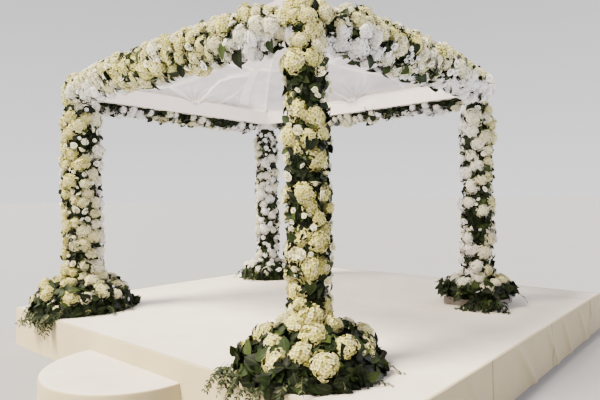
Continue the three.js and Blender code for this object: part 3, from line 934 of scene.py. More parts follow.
# Heads of each place: least and greatest radius, the gap between two as a share of their two radii,
# and how deep they sit as a share of their own
HEAD_LAYERS = {
    "column": (0.058, 0.100, 0.84, (0.55, 1.15)),
    "cluster": (0.062, 0.098, 0.78, (0.55, 1.15)),
    "beam": (0.060, 0.098, 0.80, (0.55, 1.15)),
    "under beam": (0.038, 0.060, 1.0, (0.55, 1.15)),
    "mound": (0.062, 0.096, 0.94, (0.10, 0.70)),
}

# The same for small flowers, with how much they tilt and how much whiter they are
ROSE_LAYER = (0.029, 0.042, 0.92, (0.0, 0.9), 0.55, 0.45)
BLOOM_LAYER = (0.017, 0.025, 1.0, (0.2, 1.4), 0.6, 0.6)

# Leaves of each place: shapes, share of the points that have one, depth, length,
# how far they point outward, and how far they hang
LEAF_LAYERS = {
    "column": (BROAD, 0.24, (0.040, 0.085), (0.055, 0.092), (0.15, 1.2), 0.0),
    "cluster": (BROAD, 0.12, (0.055, 0.085), (0.060, 0.095), (0.10, 0.9), 0.0),
    "column pockets": (BROAD, 0.22, (0.035, 0.075), (0.060, 0.100), (0.05, 0.6), 0.0),
    "column hearts": (HEART, 0.006, (0.015, 0.04), (0.070, 0.095), (0.05, 0.3), 0.5),
    "beam": (BROAD, 0.30, (0.045, 0.090), (0.065, 0.100), (0.15, 1.1), 0.0),
    "white beam": (BROAD, 0.16, (0.070, 0.100), (0.055, 0.080), (0.15, 0.7), 0.0),
    "beam hearts": (HEART, 0.006, (0.01, 0.03), (0.080, 0.110), (0.05, 0.3), 0.6),
    "mound top": (BROAD, 0.20, (0.03, 0.09), (0.075, 0.115), (0.2, 1.0), 0.15),
    "mound": (ROUND, 0.24, (0.0, 0.05), (0.085, 0.135), (0.1, 0.8), 0.8),
    "mound sprigs": ([RUSCUS], 0.08, (0.02, 0.07), (0.050, 0.070), (0.4, 1.4), 0.0),
    "open mound": (ROUND, 0.34, (0.0, 0.05), (0.085, 0.135), (0.1, 0.8), -0.4),
    "open mound sprigs": ([RUSCUS], 0.08, (0.02, 0.07), (0.050, 0.070), (0.4, 1.4), -0.4),
}


class Dressing:
    """Flowers and leaves for one flower body, in layers from the biggest heads to the leaves."""

    def __init__(self, points, normals, free_of_frame=True):
        self.points, self.normals = points, normals
        self.free_of_frame = free_of_frame
        self.places, self.radii = [], []
        self.blooms, self.leaves = [], []

    def usable(self, points, reach):
        return clear_of_frame(points, reach) if self.free_of_frame else np.ones(len(points), bool)

    def pick(self, points, radii, gap, most):
        """Picks points in order, each at least gap times the two radii from all that are picked."""
        picked = []
        for i, (point, radius) in enumerate(zip(points, radii)):
            if len(picked) == most:
                break
            if self.places:
                away = length_of(np.array(self.places) - point)
                if (away < gap * (np.array(self.radii) + radius)).any():
                    continue
            self.places.append(point)
            self.radii.append(radius)
            picked.append(i)
        return np.array(picked, int)

    def layer(self, shapes, smallest, largest, gap, sunk, tilt, whiter, most, where):
        """Lays up to so many flowers, or all that fit, where asked, and gives their number."""
        radii = rng.uniform(smallest, largest, len(self.points))
        sink = rng.uniform(*sunk, len(self.points)) * radii
        centres = self.points - self.normals * sink[:, None]
        order = np.nonzero(self.usable(centres, radii) & where)[0]
        picked = order[self.pick(self.points[order], radii[order], gap, most)]
        facing = self.normals[picked]
        tones = limited(whiteness_with_painted_uplight(centres[picked], facing) + whiter)
        self.blooms += laid_flowers(shapes, centres[picked], facing, radii[picked], tilt, tones)
        return len(picked)

    def heads(self, place, where):
        return self.layer(HEADS, *HEAD_LAYERS[place], 0.2, 0.0, None, where)

    def small_flowers(self, roses, blooms, where):
        """Lays small flowers, and leaves the points in the opposite order."""
        self.layer(ROSES, *ROSE_LAYER, roses, where)
        self.points, self.normals = self.points[::-1], self.normals[::-1]
        self.layer(BLOOMS, *BLOOM_LAYER, blooms, where[::-1])

    def greenery(self, place, where):
        """Lays one place's leaves at some of the points."""
        shapes, share, sink, lengths, outward, hang = LEAF_LAYERS[place]
        use = (rng.random(len(self.points)) < share) & where
        points, normals = self.points[use], self.normals[use]
        base = points - normals * rng.uniform(*sink, len(points))[:, None]
        sizes = rng.uniform(*lengths, len(points))
        allowed = self.usable(base, sizes * 0.6)
        base, normals, sizes = base[allowed], normals[allowed], sizes[allowed]
        lean = rng.uniform(*outward, len(base))
        self.leaves += laid_leaves(shapes, base, normals, sizes, lean, hang)

    def add_blooms(self, name, replaced=()):
        add_piece(name, Shape.joined(self.blooms), FLORAL, replaced)

    def add_leaves(self, name, replaced=()):
        add_piece(name, Shape.joined(self.leaves), FLORAL, replaced)


CORE_SEGMENTS = 14


def tube_core(points, radius):
    """A rough tube of moss, near black as painted shade deep between the flowers, along a line of points,
    closed at both ends.
    """
    ahead = unit(np.gradient(points, axis=0))
    upright = np.array([1.0, 0.0, 0.0]) if abs(ahead[0, 2]) > 0.9 else UP
    side = unit(np.cross(ahead, upright))
    over = np.cross(ahead, side)
    turn = np.linspace(0, 2 * math.pi, CORE_SEGMENTS, endpoint=False)
    rough = 1 + rng.uniform(-0.12, 0.12, (len(points), CORE_SEGMENTS))
    ring = ring_round(side, over, turn)
    radii = np.broadcast_to(np.asarray(radius, float).reshape(-1, 1), (len(points), 1))
    body = points[:, None] + ring * (radii * rough)[..., None]
    body[0], body[-1] = points[0], points[-1]
    return Shape.grid(body, MOSS_AND_SHADE, 0.5, closed=True)


# How many places are tried for flowers and leaves
COLUMN_POINTS = 3400
CLUSTER_POINTS = 1200
GARLAND_POINTS = 4600
MOUND_POINTS = 4200

# How far the moss cores lie under the flowers, and how close the noise is that parts the flowers into bunches
CORE_DEPTH = 0.085
CLUSTER_CORE_DEPTH = 0.06
MOUND_CORE_DEPTH = 0.11
PATCH_SCALE = np.array([6.0, 6.0, 8.5])

# How high the noise has to be for a column's flowers: the higher, the more leaves show between their bunches
COLUMN_OPENING = {"front_left": 0.43, "front_right": 0.47, "back_right": 0.46, "back_left": 0.43}

# Small flowers of each kind for every head: on columns, on garlands, where the kinds differ, and on mounds
SMALL_SHARE = {"front_left": 0.5, "front_right": 0.5, "back_right": 0.25, "back_left": 0.35}
GARLAND_SMALL = (0.3, 0.5)
MOUND_SMALL = 0.3

# Where a column's heads crowd together, and where its flowers start to close up, below the beam's underside
CROWDED_FROM = 0.10
CLOSING_FROM = 0.40
CLOSING_RUN = 0.20

# The band of leaves, in height over the deck, under the nearest corner's cluster
DARK_COLLAR_CORNER = "front_right"
DARK_COLLAR = (1.93, 2.13)


def patches(points, seed):
    return lattice(points * PATCH_SCALE, 1.0, seed)


def make_column(corner):
    points, normals = (
        np.concatenate(both)
        for both in zip(on_column(COLUMN_POINTS, corner), on_cluster(CLUSTER_POINTS, corner))
    )
    order = rng.permutation(len(points))
    points, normals = points[order], normals[order]
    upper = points[:, 2] > CLUSTER_HEIGHT - 0.25
    keep = ~in_garland(points, 0.06) & ~in_mound(points, 0.05)
    keep &= ~(upper & in_cluster(points, 0.03)) & ~in_column(points, 0.03)
    points, normals = points[keep], normals[keep]
    dressing = Dressing(points, normals)
    crowded = points[:, 2] > BEAM_LOW - CROWDED_FROM
    near_top = limited((points[:, 2] - BEAM_LOW + CLOSING_FROM) / CLOSING_RUN)
    flowery = patches(points, 7) + 0.12 * near_top > COLUMN_OPENING[corner]
    if corner == DARK_COLLAR_CORNER:
        height = points[:, 2] - DECK_TOP
        crowded = height > DARK_COLLAR[1]
        flowery &= (height < DARK_COLLAR[0]) | crowded
    dressing.heads("cluster", crowded)
    small = int(dressing.heads("column", flowery & ~crowded) * SMALL_SHARE[corner])
    dressing.small_flowers(small, small, ~crowded)
    crowded, flowery = crowded[::-1], flowery[::-1]
    dressing.greenery("column", ~crowded)
    dressing.greenery("cluster", crowded)
    dressing.greenery("column pockets", ~(flowery | crowded))
    dressing.greenery("column hearts", ~crowded)
    heights = np.linspace(DECK_TOP + 0.10, BEAM_LOW - 0.01, 30)
    line = at_height(POSTS[corner], 0.0) + heights[:, None] * UP
    core = tube_core(line, COLUMN_RADIUS[corner] - CORE_DEPTH)
    around = ball(14, 9, MOSS_AND_SHADE, 0.5)
    around.points = around.points * (CLUSTER_RADIUS[corner] - CLUSTER_CORE_DEPTH) + cluster_centre(corner)
    for axis, hand in enumerate(CORNERS[corner]):
        limit = POSTS[corner][axis] - hand * (HALF_POST - 0.006)
        furthest = np.maximum if hand > 0 else np.minimum
        around.points[:, axis] = furthest(around.points[:, axis], limit)
    dressing.leaves += [core, around]
    dressing.add_blooms("column_blooms_" + corner, ["flower_column_" + corner])
    dressing.add_leaves("column_leaves_" + corner)


# Single heart-shaped leaves on the beams' flowers: distance from the beam's middle, angle up from outward,
# and length
SHOWN_LEAVES = {"front": [(1.22, -1.10, 0.125), (1.52, -1.13, 0.085)], "right": [(-1.02, -1.20, 0.085)]}
SHOWN_LEAF_STANDS_OFF = 0.035

# How high the noise has to be for each beam's flowers, and for those under a beam
BEAM_OPENING = {"front": 0.26, "right": 0.41, "back": 0.32, "left": 0.32}
UNDER_BEAM_OPENING = 0.48

# From how white on the leaves are fewer and deeper
WHITE_FROM = 0.6


def make_garland(side):
    points, normals = on_garland(GARLAND_POINTS, side)
    keep = ~in_column(points, 0.05) & ~in_cluster(points, 0.05)
    points, normals = points[keep], normals[keep]
    dressing = Dressing(points, normals)
    middle, along, out, half = garland_frame(side)
    inner = (normals @ out < -0.12) & (normals[:, 2] < 0.5)
    noise = patches(points, 7)
    count = dressing.heads("beam", (noise > BEAM_OPENING[side]) & ~inner)
    dressing.heads("under beam", (noise > UNDER_BEAM_OPENING) & inner & (normals[:, 2] < -0.6))
    dressing.small_flowers(*(int(count * share) for share in GARLAND_SMALL), ~inner)
    hidden = (dressing.normals @ out < -0.12) | (dressing.normals[:, 2] < -0.8)
    white = (whiteness_with_painted_uplight(dressing.points, dressing.normals) > WHITE_FROM) & ~hidden
    dressing.greenery("beam", ~white)
    dressing.greenery("white beam", white)
    dressing.greenery("beam hearts", ~white)
    for distance, angle, length in SHOWN_LEAVES.get(side, ()):
        normal = math.cos(angle) * out + math.sin(angle) * UP
        reach = garland_radius(distance, half) + SHOWN_LEAF_STANDS_OFF
        base = middle + distance * along + normal * reach + UP * (length / 2)
        turn = frames_from(np.array([[0.15, 0.0, -1.0]]), normal[None] + UP * 0.4)
        dressing.leaves.append(HEART[0].copies(base[None], turn, length))
    distance = np.linspace(-half, half, 36)
    radius = np.maximum(garland_radius(distance, half) - CORE_DEPTH, 0.02)
    dressing.leaves.append(tube_core(middle + distance[:, None] * along, radius))
    dressing.add_blooms("garland_blooms_" + side, ["garland_" + side])
    dressing.add_leaves("garland_leaves_" + side)


# The corner whose tray shows under the front of its mound, and how high its leaves stay there
OPEN_MOUND = "back_right"
TRAY_SHOWN = 0.155

# Each mound's flowers: the share of its height where they start, how soon they close up,
# and how high the noise has to be for them
MOUND_FLOWERS = {
    "front_left": (0.30, 2.2, 0.42),
    "front_right": (0.42, 3.0, 0.36),
    "back_right": (0.50, 6.0, 0.18),
    "back_left": (0.40, 3.0, 0.36),
}

# Closed mounds and the open one: how far up their round leaves reach, how many sprigs stand round them,
# and how much higher those start
CLOSED = ("mound", 0.75, 14, 0.0)
OPENED = ("open mound", 0.56, 4, 0.12)

# Sprays on the stage's front edge: from and to where, from the post, how many, their leaves,
# and the leaves' length
FRINGES = {
    "front_left": (-0.14, 0.40, 24, RUSCUS, 0.062),
    "front_right": (-0.45, 0.02, 20, GREY_SPRAY, 0.042),
}


def tray_fern(heart):
    """A fan of leafy sprays that lies over the front of the tray and on the stage."""
    count = 9
    spread = np.linspace(-1.0, 1.3, count)
    start = heart + xyz(0.20 + 0.06 * spread, -0.30 + 0.03 * spread, 0.13)
    way = xyz(spread, -0.8, rng.uniform(-0.3, 0.2, count))
    return sprigs(start, way, rng.uniform(0.16, 0.32, count), BROAD[1], 0.088, 6)


def front_fringe(heart, low, high, count, blade, blade_length):
    """Sprays that hang over the stage's front edge."""
    edge = STAGE_LOW[1] + 0.01
    across = np.linspace(low, high, count) + rng.normal(0, 0.012, count)
    start = xyz(heart[0] + across, edge + 0.05, DECK_TOP + 0.05)
    start += rng.uniform(-0.02, 0.02, start.shape)
    way = xyz(rng.normal(0, 0.15, count), -0.9, rng.uniform(-0.3, 0.3, count))
    return sprigs(start, way, rng.uniform(0.18, 0.28, count), blade, blade_length, 8)


def make_mound(corner):
    heart = at_height(POSTS[corner], DECK_TOP)
    opened = corner == OPEN_MOUND
    points, normals = on_mound(MOUND_POINTS, corner)
    points = points - normals * (MOUND_LUMPS * lattice(points, 9.0, 15))[:, None]
    keep = ~in_column(points, 0.05)
    if opened:
        keep &= points[:, 2] > DECK_TOP + TRAY_SHOWN
    points, normals = points[keep], normals[keep]
    rise = (points[:, 2] - DECK_TOP) / MOUND_HEIGHT[corner]
    dressing = Dressing(points, normals, free_of_frame=False)
    first, pace, opening = MOUND_FLOWERS[corner]
    upper = rng.random(len(points)) < limited((rise - first) * pace)
    small = int(dressing.heads("mound", upper & (patches(points, 9) > opening)) * MOUND_SMALL)
    dressing.small_flowers(small, small, rise > first - 0.10)
    rise = (dressing.points[:, 2] - DECK_TOP) / MOUND_HEIGHT[corner]
    name, top, count, lift = OPENED if opened else CLOSED
    dressing.greenery("mound top", rise > 0.45)
    dressing.greenery(name, rise < top)
    dressing.greenery(name + " sprigs", rise < 0.7)
    around = np.arange(count) / count * 2 * math.pi + rng.normal(0, 0.08, count)
    out = round_z(around, 1.0, rng.uniform(0.05, 0.4, count))
    level = out * np.array([1, 1, 0])
    start = heart + level * MOUND_RADIUS[corner] * rng.uniform(0.76, 0.92, (count, 1))
    start[:, 2] = DECK_TOP + rng.uniform(0.04, 0.12, count) + lift
    dressing.leaves += sprigs(start, out, rng.uniform(0.12, 0.20, count), RUSCUS, 0.052, 8)
    if corner in FRINGES:
        dressing.leaves += front_fringe(heart, *FRINGES[corner])
    body = ball(20, 10, MOSS_AND_SHADE, 0.5)
    lumps = 1 + 0.08 * (lattice(body.points, 3, 5)[:, None] - 0.5)
    body.points = body.points * mound_scale(corner, MOUND_CORE_DEPTH) * lumps + heart
    floor = corners_of("base_tray_" + corner)[1][2] + 0.001 if opened else DECK_TOP + 0.004
    body.points[:, 2] = np.maximum(body.points[:, 2], floor)
    if opened:
        dressing.leaves += tray_fern(heart)
    dressing.leaves.append(body)
    dressing.add_leaves("mound_leaves_" + corner, ["flower_mound_" + corner])
    dressing.add_blooms("mound_blooms_" + corner)


# Roof

# Each panel is tied down to its beam near the middle: how far, over what width,
# and where, as a share of the side
TIE_DROP = 0.056
TIE_SPREAD = 0.37
TIE_SHARE = {"left": -0.054, "back": 0.0, "right": 0.054, "front": 0.0}

# The hem's least drop, its rows as shares of the drop, how far the rims are drawn in past the beams,
# and about how long a panel is from rim to crown
HEM = 0.008
HEM_LEVELS = (1.0, 0.66, 0.33)
CLOTH_INSIDE = 0.058
PANEL_CLIMB = 0.9

# The height of the cap that is sewn round the crown, as a share of the roof's rise, and how thick its edge is
CROWN_CAP = 0.88
CAP_EDGE = 0.006

# How deep the cloth sags between its ribs and ripples,
# and how deep it puffs and gathers round a tie and the crown
SAG = 0.060
RIPPLE = 0.005
PUFF = 0.020
TIE_GATHERS = 0.013
CROWN_GATHERS = 0.008

# Folds of each panel: heights from rim to crown, shares along the panel there, half width and depth in metres
ROOF_FOLDS = {
    "left": [
        ((0.0, 0.37, 0.67, 0.76, 0.81, 0.90), (-0.054, -0.18, -0.215, -0.33, -0.52, -0.70), 0.024, 0.022),
        ((0.05, 0.40, 0.70), (-0.335, -0.495, -0.60), 0.034, 0.010),
        ((0.0, 0.30, 0.62), (-0.054, 0.22, 0.34), 0.034, 0.010),
    ],
    "back": [
        ((0.0, 0.23, 0.74, 0.98), (0.0, -0.06, -0.285, -0.36), 0.016, 0.008),
        ((0.10, 0.49, 0.84, 1.0), (-0.45, -0.385, -0.11, 0.02), 0.034, 0.008),
        ((0.0, 0.26, 0.55), (0.0, 0.16, 0.22), 0.030, 0.007),
    ],
    "right": [
        ((0.0, 0.30, 0.58), (0.054, 0.20, 0.26), 0.030, 0.010),
        ((0.0, 0.40, 0.78), (0.054, -0.20, -0.30), 0.040, 0.007),
    ],
    "front": [
        ((0.0, 0.34, 0.66), (0.0, -0.18, -0.25), 0.030, 0.009),
        ((0.0, 0.30, 0.50), (0.0, 0.20, 0.30), 0.036, 0.007),
    ],
}

# How deep a fold is where it gathers the cloth to its whitest
FULL_FOLD = 0.020

# Where the widths of the roof cloth overlap, as shares of each side
SEAMS = {"left": [(-0.72, -0.60)], "back": [(0.62, 0.68)], "right": [(0.60, 0.70)], "front": [(-0.70, -0.62)]}


def fuller(values):
    """Sines or cosines as the roof's curve has them, fuller than a circle's."""
    return np.maximum(values, 0) ** (2 / ROOF_FULLNESS)


def folded(side, share, height, half_along, run):
    """How far a panel's folds push it inward, and how closely they gather it, from 0 to 1."""
    push = np.zeros(np.broadcast(share, height).shape)
    dense = push.copy()
    for heights, shares, width, depth in ROOF_FOLDS[side]:
        middle = np.interp(height, heights, shares)
        lean = np.interp(height + 0.02, heights, shares) - np.interp(height - 0.02, heights, shares)
        steep = np.hypot(1, lean / 0.04 * half_along / PANEL_CLIMB)
        up = limited((height - heights[0]) / (heights[-1] - heights[0]))
        away = (share - middle) * half_along * run / steep / (width * (0.4 + 0.6 * up))
        comes_in = limited((height - heights[0]) / 0.10 + 1)
        goes_out = limited((heights[-1] - height) / 0.30) ** 0.7
        ridge = bell(away) * (comes_in * goes_out)
        push += depth * ridge
        dense = np.maximum(dense, ridge * min(1, depth / FULL_FOLD))
    return push, dense


def roof_points(side, share, angle):
    """Points on one panel of the cloth, and how dense it is there, with painted uplight glow low down by the
    hips.

    Share runs along the beam, from -1 to 1, and angle runs from rim to crown.
    """
    out, along = SIDES[side], way_along(side)
    half_out, half_along = (half + CLOTH_OFFSET for half in half_spans(side))
    run, height = fuller(np.cos(angle)), fuller(np.sin(angle))
    slack = 1 - share ** 2
    offset = share * half_along
    rise = height * (ROOF_RISE + CLOTH_OFFSET)
    pull = (CLOTH_OFFSET + CLOTH_INSIDE) * (1 - np.abs(share) ** 12) * np.exp(-height / 0.3)
    sag = SAG * slack * np.sin(angle * 2) ** 1.2
    ripple = RIPPLE * slack * np.sin(share * 9 + 3 * height) * np.sin(angle * 2)

    # Round the tie
    climb = rise + (1 - run) * half_out
    beside_tie = (offset - TIE_SHARE[side] * half_along) * run
    from_tie = np.hypot(beside_tie, climb)
    bearing = np.arctan2(climb, beside_tie)
    gather = np.cos(bearing * 12 + 0.6) + 0.6 * np.cos(bearing * 21 + 1.7)
    near_tie = bell(from_tie / 0.34) * np.minimum(from_tie / 0.04, 1)
    cone = TIE_DROP * np.exp(-((from_tie / 0.16) ** 1.2))
    puff = PUFF * bell((from_tie - 0.05) / 0.022)

    # Round the crown
    x, y = (run * (half_out * out[axis] + offset * along[axis]) for axis in (0, 1))
    turn = np.arctan2(y, x)
    from_crown = np.hypot(offset * run, run * half_out)
    by_crown = np.minimum(from_crown / 0.08, 1)
    crown = CROWN_GATHERS * np.cos(turn * 24) * bell(from_crown / 0.45) * by_crown
    cap_edge = (height - CROWN_CAP - 0.006 * np.cos(turn * 20)) / 0.010
    on_edge = bell(cap_edge)

    push, dense = folded(side, share, height, half_along, run)
    down = sag + ripple + cone + puff - TIE_GATHERS * near_tie * gather
    down = down + push + crown + CAP_EDGE * on_edge
    by_hip = bell((1 - np.abs(share)) * half_along * run / 0.024)
    dense = dense + 0.35 * near_tie * np.maximum(gather, 0) + 0.6 * puff / PUFF + 0.5 * by_hip
    dense = dense + 0.22 * limited(cap_edge + 0.5) + 0.3 * on_edge
    dense = dense + 0.5 * np.exp(-height / 0.03)
    # Painted uplight glow: the cloth whiter low down by the hips
    dense = dense + 0.7 * limited((np.abs(share) - 0.72) / 0.1) * np.exp(-height / 0.30)
    points = (
        at_height(CENTRE, BEAM_TOP + 0.003)
        + (run * half_out - pull)[..., None] * out
        + (run * offset)[..., None] * along
        + rise[..., None] * UP
    )
    inward = -(out * 0.45 * run[..., None]) - UP
    drop = np.where(height > 0.02, down, 0)
    return points + drop[..., None] * inward, limited(dense)


def roof_panel(side, columns):
    """A panel with its hem, which dips to the tie in the middle of the beam's inner face."""
    half_along = half_spans(side)[1] + CLOTH_OFFSET
    spread = np.linspace(-1, 1, columns)
    share = (np.sign(spread) * np.abs(spread) ** 1.25)[None]
    by_cap = np.arcsin((CROWN_CAP + np.linspace(-0.024, 0.024, 9)) ** (ROOF_FULLNESS / 2))
    evenly = (math.pi / 2 - 0.004) * np.linspace(0, 1, 44) ** 1.25
    angle = np.sort(np.concatenate([evenly, by_cap]))[:, None]
    cloth, dense = roof_points(side, share, np.maximum(angle, 1e-4))
    away = np.abs(share[0] - TIE_SHARE[side]) * half_along
    depth = HEM + TIE_DROP * limited(1 - away / TIE_SPREAD) ** 1.1
    folds = 0.004 * np.cos(away * 120) * np.exp(-away / 0.12)
    hem = [
        cloth[0] - (depth * level)[:, None] * UP - (folds + 0.002)[:, None] * SIDES[side]
        for level in HEM_LEVELS
    ]
    dense = np.concatenate([np.full((len(hem), columns), 0.85), dense])
    return Shape.grid(np.concatenate([np.array(hem), cloth]), 0, dense)


def roof_strip(side, low, high):
    """A narrow overlap where two widths of the cloth are sewn together, just under the panel."""
    share = np.linspace(low, high, 4)[None]
    angle = np.linspace(0.02, math.pi / 2 - 0.1, 50)[:, None]
    points, dense = roof_points(side, share, angle)
    return Shape.grid(points - UP * 0.003, 0, np.maximum(dense, 0.62))


def sheet_area(shape):
    """The area of a shape made of quads."""
    a, b, c, d = shape.points[shape.corners.reshape(-1, 4)].transpose(1, 0, 2)
    doubled = length_of(np.cross(b - a, c - a)) + length_of(np.cross(c - a, d - a))
    return float(doubled.sum() / 2)


# How many points each panel has along its rim: most where it is seen from nearest
ROOF_COLUMNS = {"left": 170, "back": 120, "right": 100, "front": 100}


def make_roof():
    panels = [roof_panel(side, ROOF_COLUMNS[side]) for side in SIDES]
    strips = [roof_strip(side, *seam) for side in SIDES for seam in SEAMS[side]]
    cloth = Shape.joined(panels + strips)
    piece = add_piece("roof_voile", cloth, [VOILE], ["roof_cloth"])


# The swag's middle, to the right of the canopy's, half its length, and how deep it hangs
SWAG_MIDDLE = 0.12
SWAG_REACH = 0.90
SWAG_DROP = 0.117


def make_front_swag():
    """The cloth that is slung under the front beam, deepest near the middle."""
    x = np.linspace(-SWAG_REACH, SWAG_REACH, 80)[None]
    across = np.linspace(-1, 1, 15)[:, None]
    drop = SWAG_DROP * (1 - (x / SWAG_REACH) ** 2)
    y = CENTRE[1] - HALF_Y + across * (HALF_POST + 0.004) * (1 - 0.12 * drop / SWAG_DROP)
    creases = 0.006 * lattice(xyz(x[0] * 3, 0.0, 0.0), 2.0, 81)[None] * across
    z = BEAM_LOW + 0.012 - (drop + 0.014) * np.maximum(1 - across ** 4, 0) ** 0.5 + creases
    points = xyz(CENTRE[0] + SWAG_MIDDLE + x, y, z)
    shape = Shape.grid(points, 0)
    piece = add_piece("front_swag", shape, [SWAG_CLOTH])
    round(sheet_area(shape), 2)


# Cloth on the stage and the step

# Where the widths of the stage's cloth meet, from its front edge back, and how wide and how high its seams are
COVER_SEAMS = (1.45, 2.90, 4.35)
SEAM_HALF_WIDTH = 0.007
SEAM_RISE = 0.0045

# How high the stage's cloth lies over the decks, how far past them it reaches, and its waves
COVER_LIFT = 0.0008
COVER_PAST = 0.002
COVER_WAVES = 0.004
COVER_RIPPLES = 0.0020


def with_seams(places, seams):
    """Places along a cloth, with a few more beside each seam."""
    beside = [seam + step * SEAM_HALF_WIDTH for seam in seams for step in (-4, -1.5, 0, 1.5, 4)]
    return np.unique(np.concatenate([places, beside]))


def by_seam(places, seams):
    """1 on a seam, falling to 0 beside it."""
    found = np.zeros(np.shape(places))
    for seam in seams:
        found = np.maximum(found, bell((places - seam) / SEAM_HALF_WIDTH))
    return found


def make_cover():
    low, high = STAGE_LOW, STAGE_HIGH
    x = np.linspace(low[0] - COVER_PAST, high[0] + COVER_PAST, 70)
    depth = high[1] - low[1]
    y = low[1] + with_seams(np.linspace(-COVER_PAST, depth + COVER_PAST, 70), COVER_SEAMS)
    gx, gy = np.meshgrid(x, y)
    seam = by_seam(gy - low[1], COVER_SEAMS)
    # Painted shadow just behind each seam's ridge, laid through the tip attribute
    beside = by_seam(gy - low[1] - 1.5 * SEAM_HALF_WIDTH, COVER_SEAMS)
    flat = xyz(gx, gy, 0.0).reshape(-1, 3)
    lift = COVER_WAVES * lattice(flat, 1.3, 21) + COVER_RIPPLES * lattice(flat, 3.4, 22)
    lift = lift.reshape(gx.shape) + SEAM_RISE * seam
    points = xyz(gx, gy, DECK_TOP + COVER_LIFT + lift)
    shape = Shape.grid(points, 0, 0.35 * beside)
    piece = add_piece("stage_cover", shape, [COVER_CLOTH])


# How a skirt rolls over the deck's edge: out from the edge, and up from the deck
ROLLED_EDGE = [(-0.012, 0.0065), (-0.004, 0.0062), (0.003, 0.0035), (0.0055, -0.003), (0.006, -0.012)]

# How far out a skirt hangs, its hem's rows over the ground, and the hem's height and thickness
SKIRT_OFF = 0.006
HEM_ROWS = np.array([0.022, 0.014, 0.002])
HEM_HEIGHT = 0.028
HEM_THICKNESS = 0.0016


def skirt_rows(along, height, folds):
    """Points of a hanging skirt: along it, out from the deck's edge, and height."""
    rows = [xyz(along, out, rise) for out, rise in ROLLED_EDGE]
    for rise in np.concatenate([np.linspace(-0.03, -height + 0.03, 16), -height + HEM_ROWS]):
        push = folds(along / along[-1], -rise / height, along)
        hem = HEM_THICKNESS if rise < -height + HEM_HEIGHT else 0.0
        rows.append(xyz(along, SKIRT_OFF + push + hem, rise))
    return np.array(rows)


def gentle_folds(amount, seed, slants):
    """A push outward that grows downward, with slanting creases; none at the two ends."""
    def push(share, drop, along):
        ends = limited(np.minimum(share, 1 - share) / 0.012)
        line = xyz(along, 0.0, drop * 0.25)
        waves = lattice(line, 2.6, seed) * 0.65 + lattice(line, 6.5, seed + 1) * 0.35
        total = amount * drop * waves
        for start, lean, width, depth in slants:
            aside = (along - start - lean * drop) / width
            total = total + depth * np.exp(-np.abs(aside) ** 1.6) * (0.3 + 0.7 * math.sin(drop * 2.2))
        return total * ends
    return push


# Each skirt's seams, how far it billows, its seed, and its creases: place, lean, half width and depth
SKIRTS = {
    "front": ((), 0.014, 31, [
        (0.10, 0.42, 0.05, 0.018), (0.95, 0.30, 0.05, 0.008), (3.75, -0.20, 0.06, 0.012),
        (4.35, 0.25, 0.06, 0.012),
    ]),
    "right": (COVER_SEAMS, 0.014, 41, [
        (0.35, 0.30, 0.06, 0.016), (1.02, 0.25, 0.05, 0.014), (1.95, 0.42, 0.055, 0.026),
        (2.75, 0.30, 0.05, 0.020), (3.25, 0.25, 0.05, 0.024), (3.85, 0.30, 0.06, 0.018),
        (4.45, -0.2, 0.05, 0.016),
    ]),
    "back": ((), 0.020, 51, [
        (0.35, 0.35, 0.05, 0.022), (0.80, 0.20, 0.04, 0.014), (1.55, -0.25, 0.05, 0.020),
        (2.30, 0.30, 0.05, 0.016), (3.05, 0.40, 0.055, 0.024), (3.60, 0.15, 0.04, 0.014),
        (4.25, -0.30, 0.05, 0.020),
    ]),
    "left": (COVER_SEAMS, 0.020, 61, [
        (0.40, -0.25, 0.05, 0.018), (1.10, 0.30, 0.045, 0.018), (1.90, 0.35, 0.05, 0.024),
        (2.60, -0.20, 0.045, 0.014), (3.45, 0.25, 0.05, 0.022), (4.20, 0.30, 0.05, 0.016),
    ]),
}

# How far a skirt reaches past the stage at each end, and how deep its seams lie
SKIRT_PAST = 0.006
SEAM_DEPTH = 0.004


def make_skirts():
    for side, corner in zip(SIDES, CORNERS.values()):
        out, along = SIDES[side], way_along(side)
        first = np.where(np.array(corner) > 0, STAGE_HIGH[:2], STAGE_LOW[:2])
        start = at_height(first, 0.0) - SKIRT_PAST * along
        length = ((STAGE_HIGH - STAGE_LOW) * np.abs(along)).sum() + 2 * SKIRT_PAST
        seams, *folds = SKIRTS[side]
        if side == "left":
            seams = tuple(length - seam for seam in seams)
        places = with_seams(np.linspace(0, length, 190), seams)
        rows = skirt_rows(places, DECK_TOP, gentle_folds(*folds))
        seam = np.broadcast_to(by_seam(rows[..., 0], seams), rows.shape[:2])
        points = start + rows[..., :1] * along + rows[..., 1:2] * out + rows[..., 2:] * UP
        points = points - (SEAM_DEPTH * seam)[..., None] * out
        points[..., 2] += DECK_TOP
        # The seams' grooves are darkened through the tip attribute: painted shade
        shape = Shape.grid(points[::-1], 0, 0.8 * seam[::-1])
        piece = add_piece("skirt_" + side, shape, [SKIRT_SHADED_CLOTH], ["stage_skirt_" + side])


# The step's cloth: its top's rows of points, and how it rolls over the edge, out from it and up from the step
TOP_ROWS = 16
STEP_EDGE = [(-0.004, 0.0), (0.0015, -0.002), (0.004, -0.008), (0.005, -0.018)]

# How far its side hangs off the step, and how far it billows and flares at its two ends by the ground
STEP_OFF = 0.005
STEP_BILLOW = 0.020
STEP_FLARE = 0.014


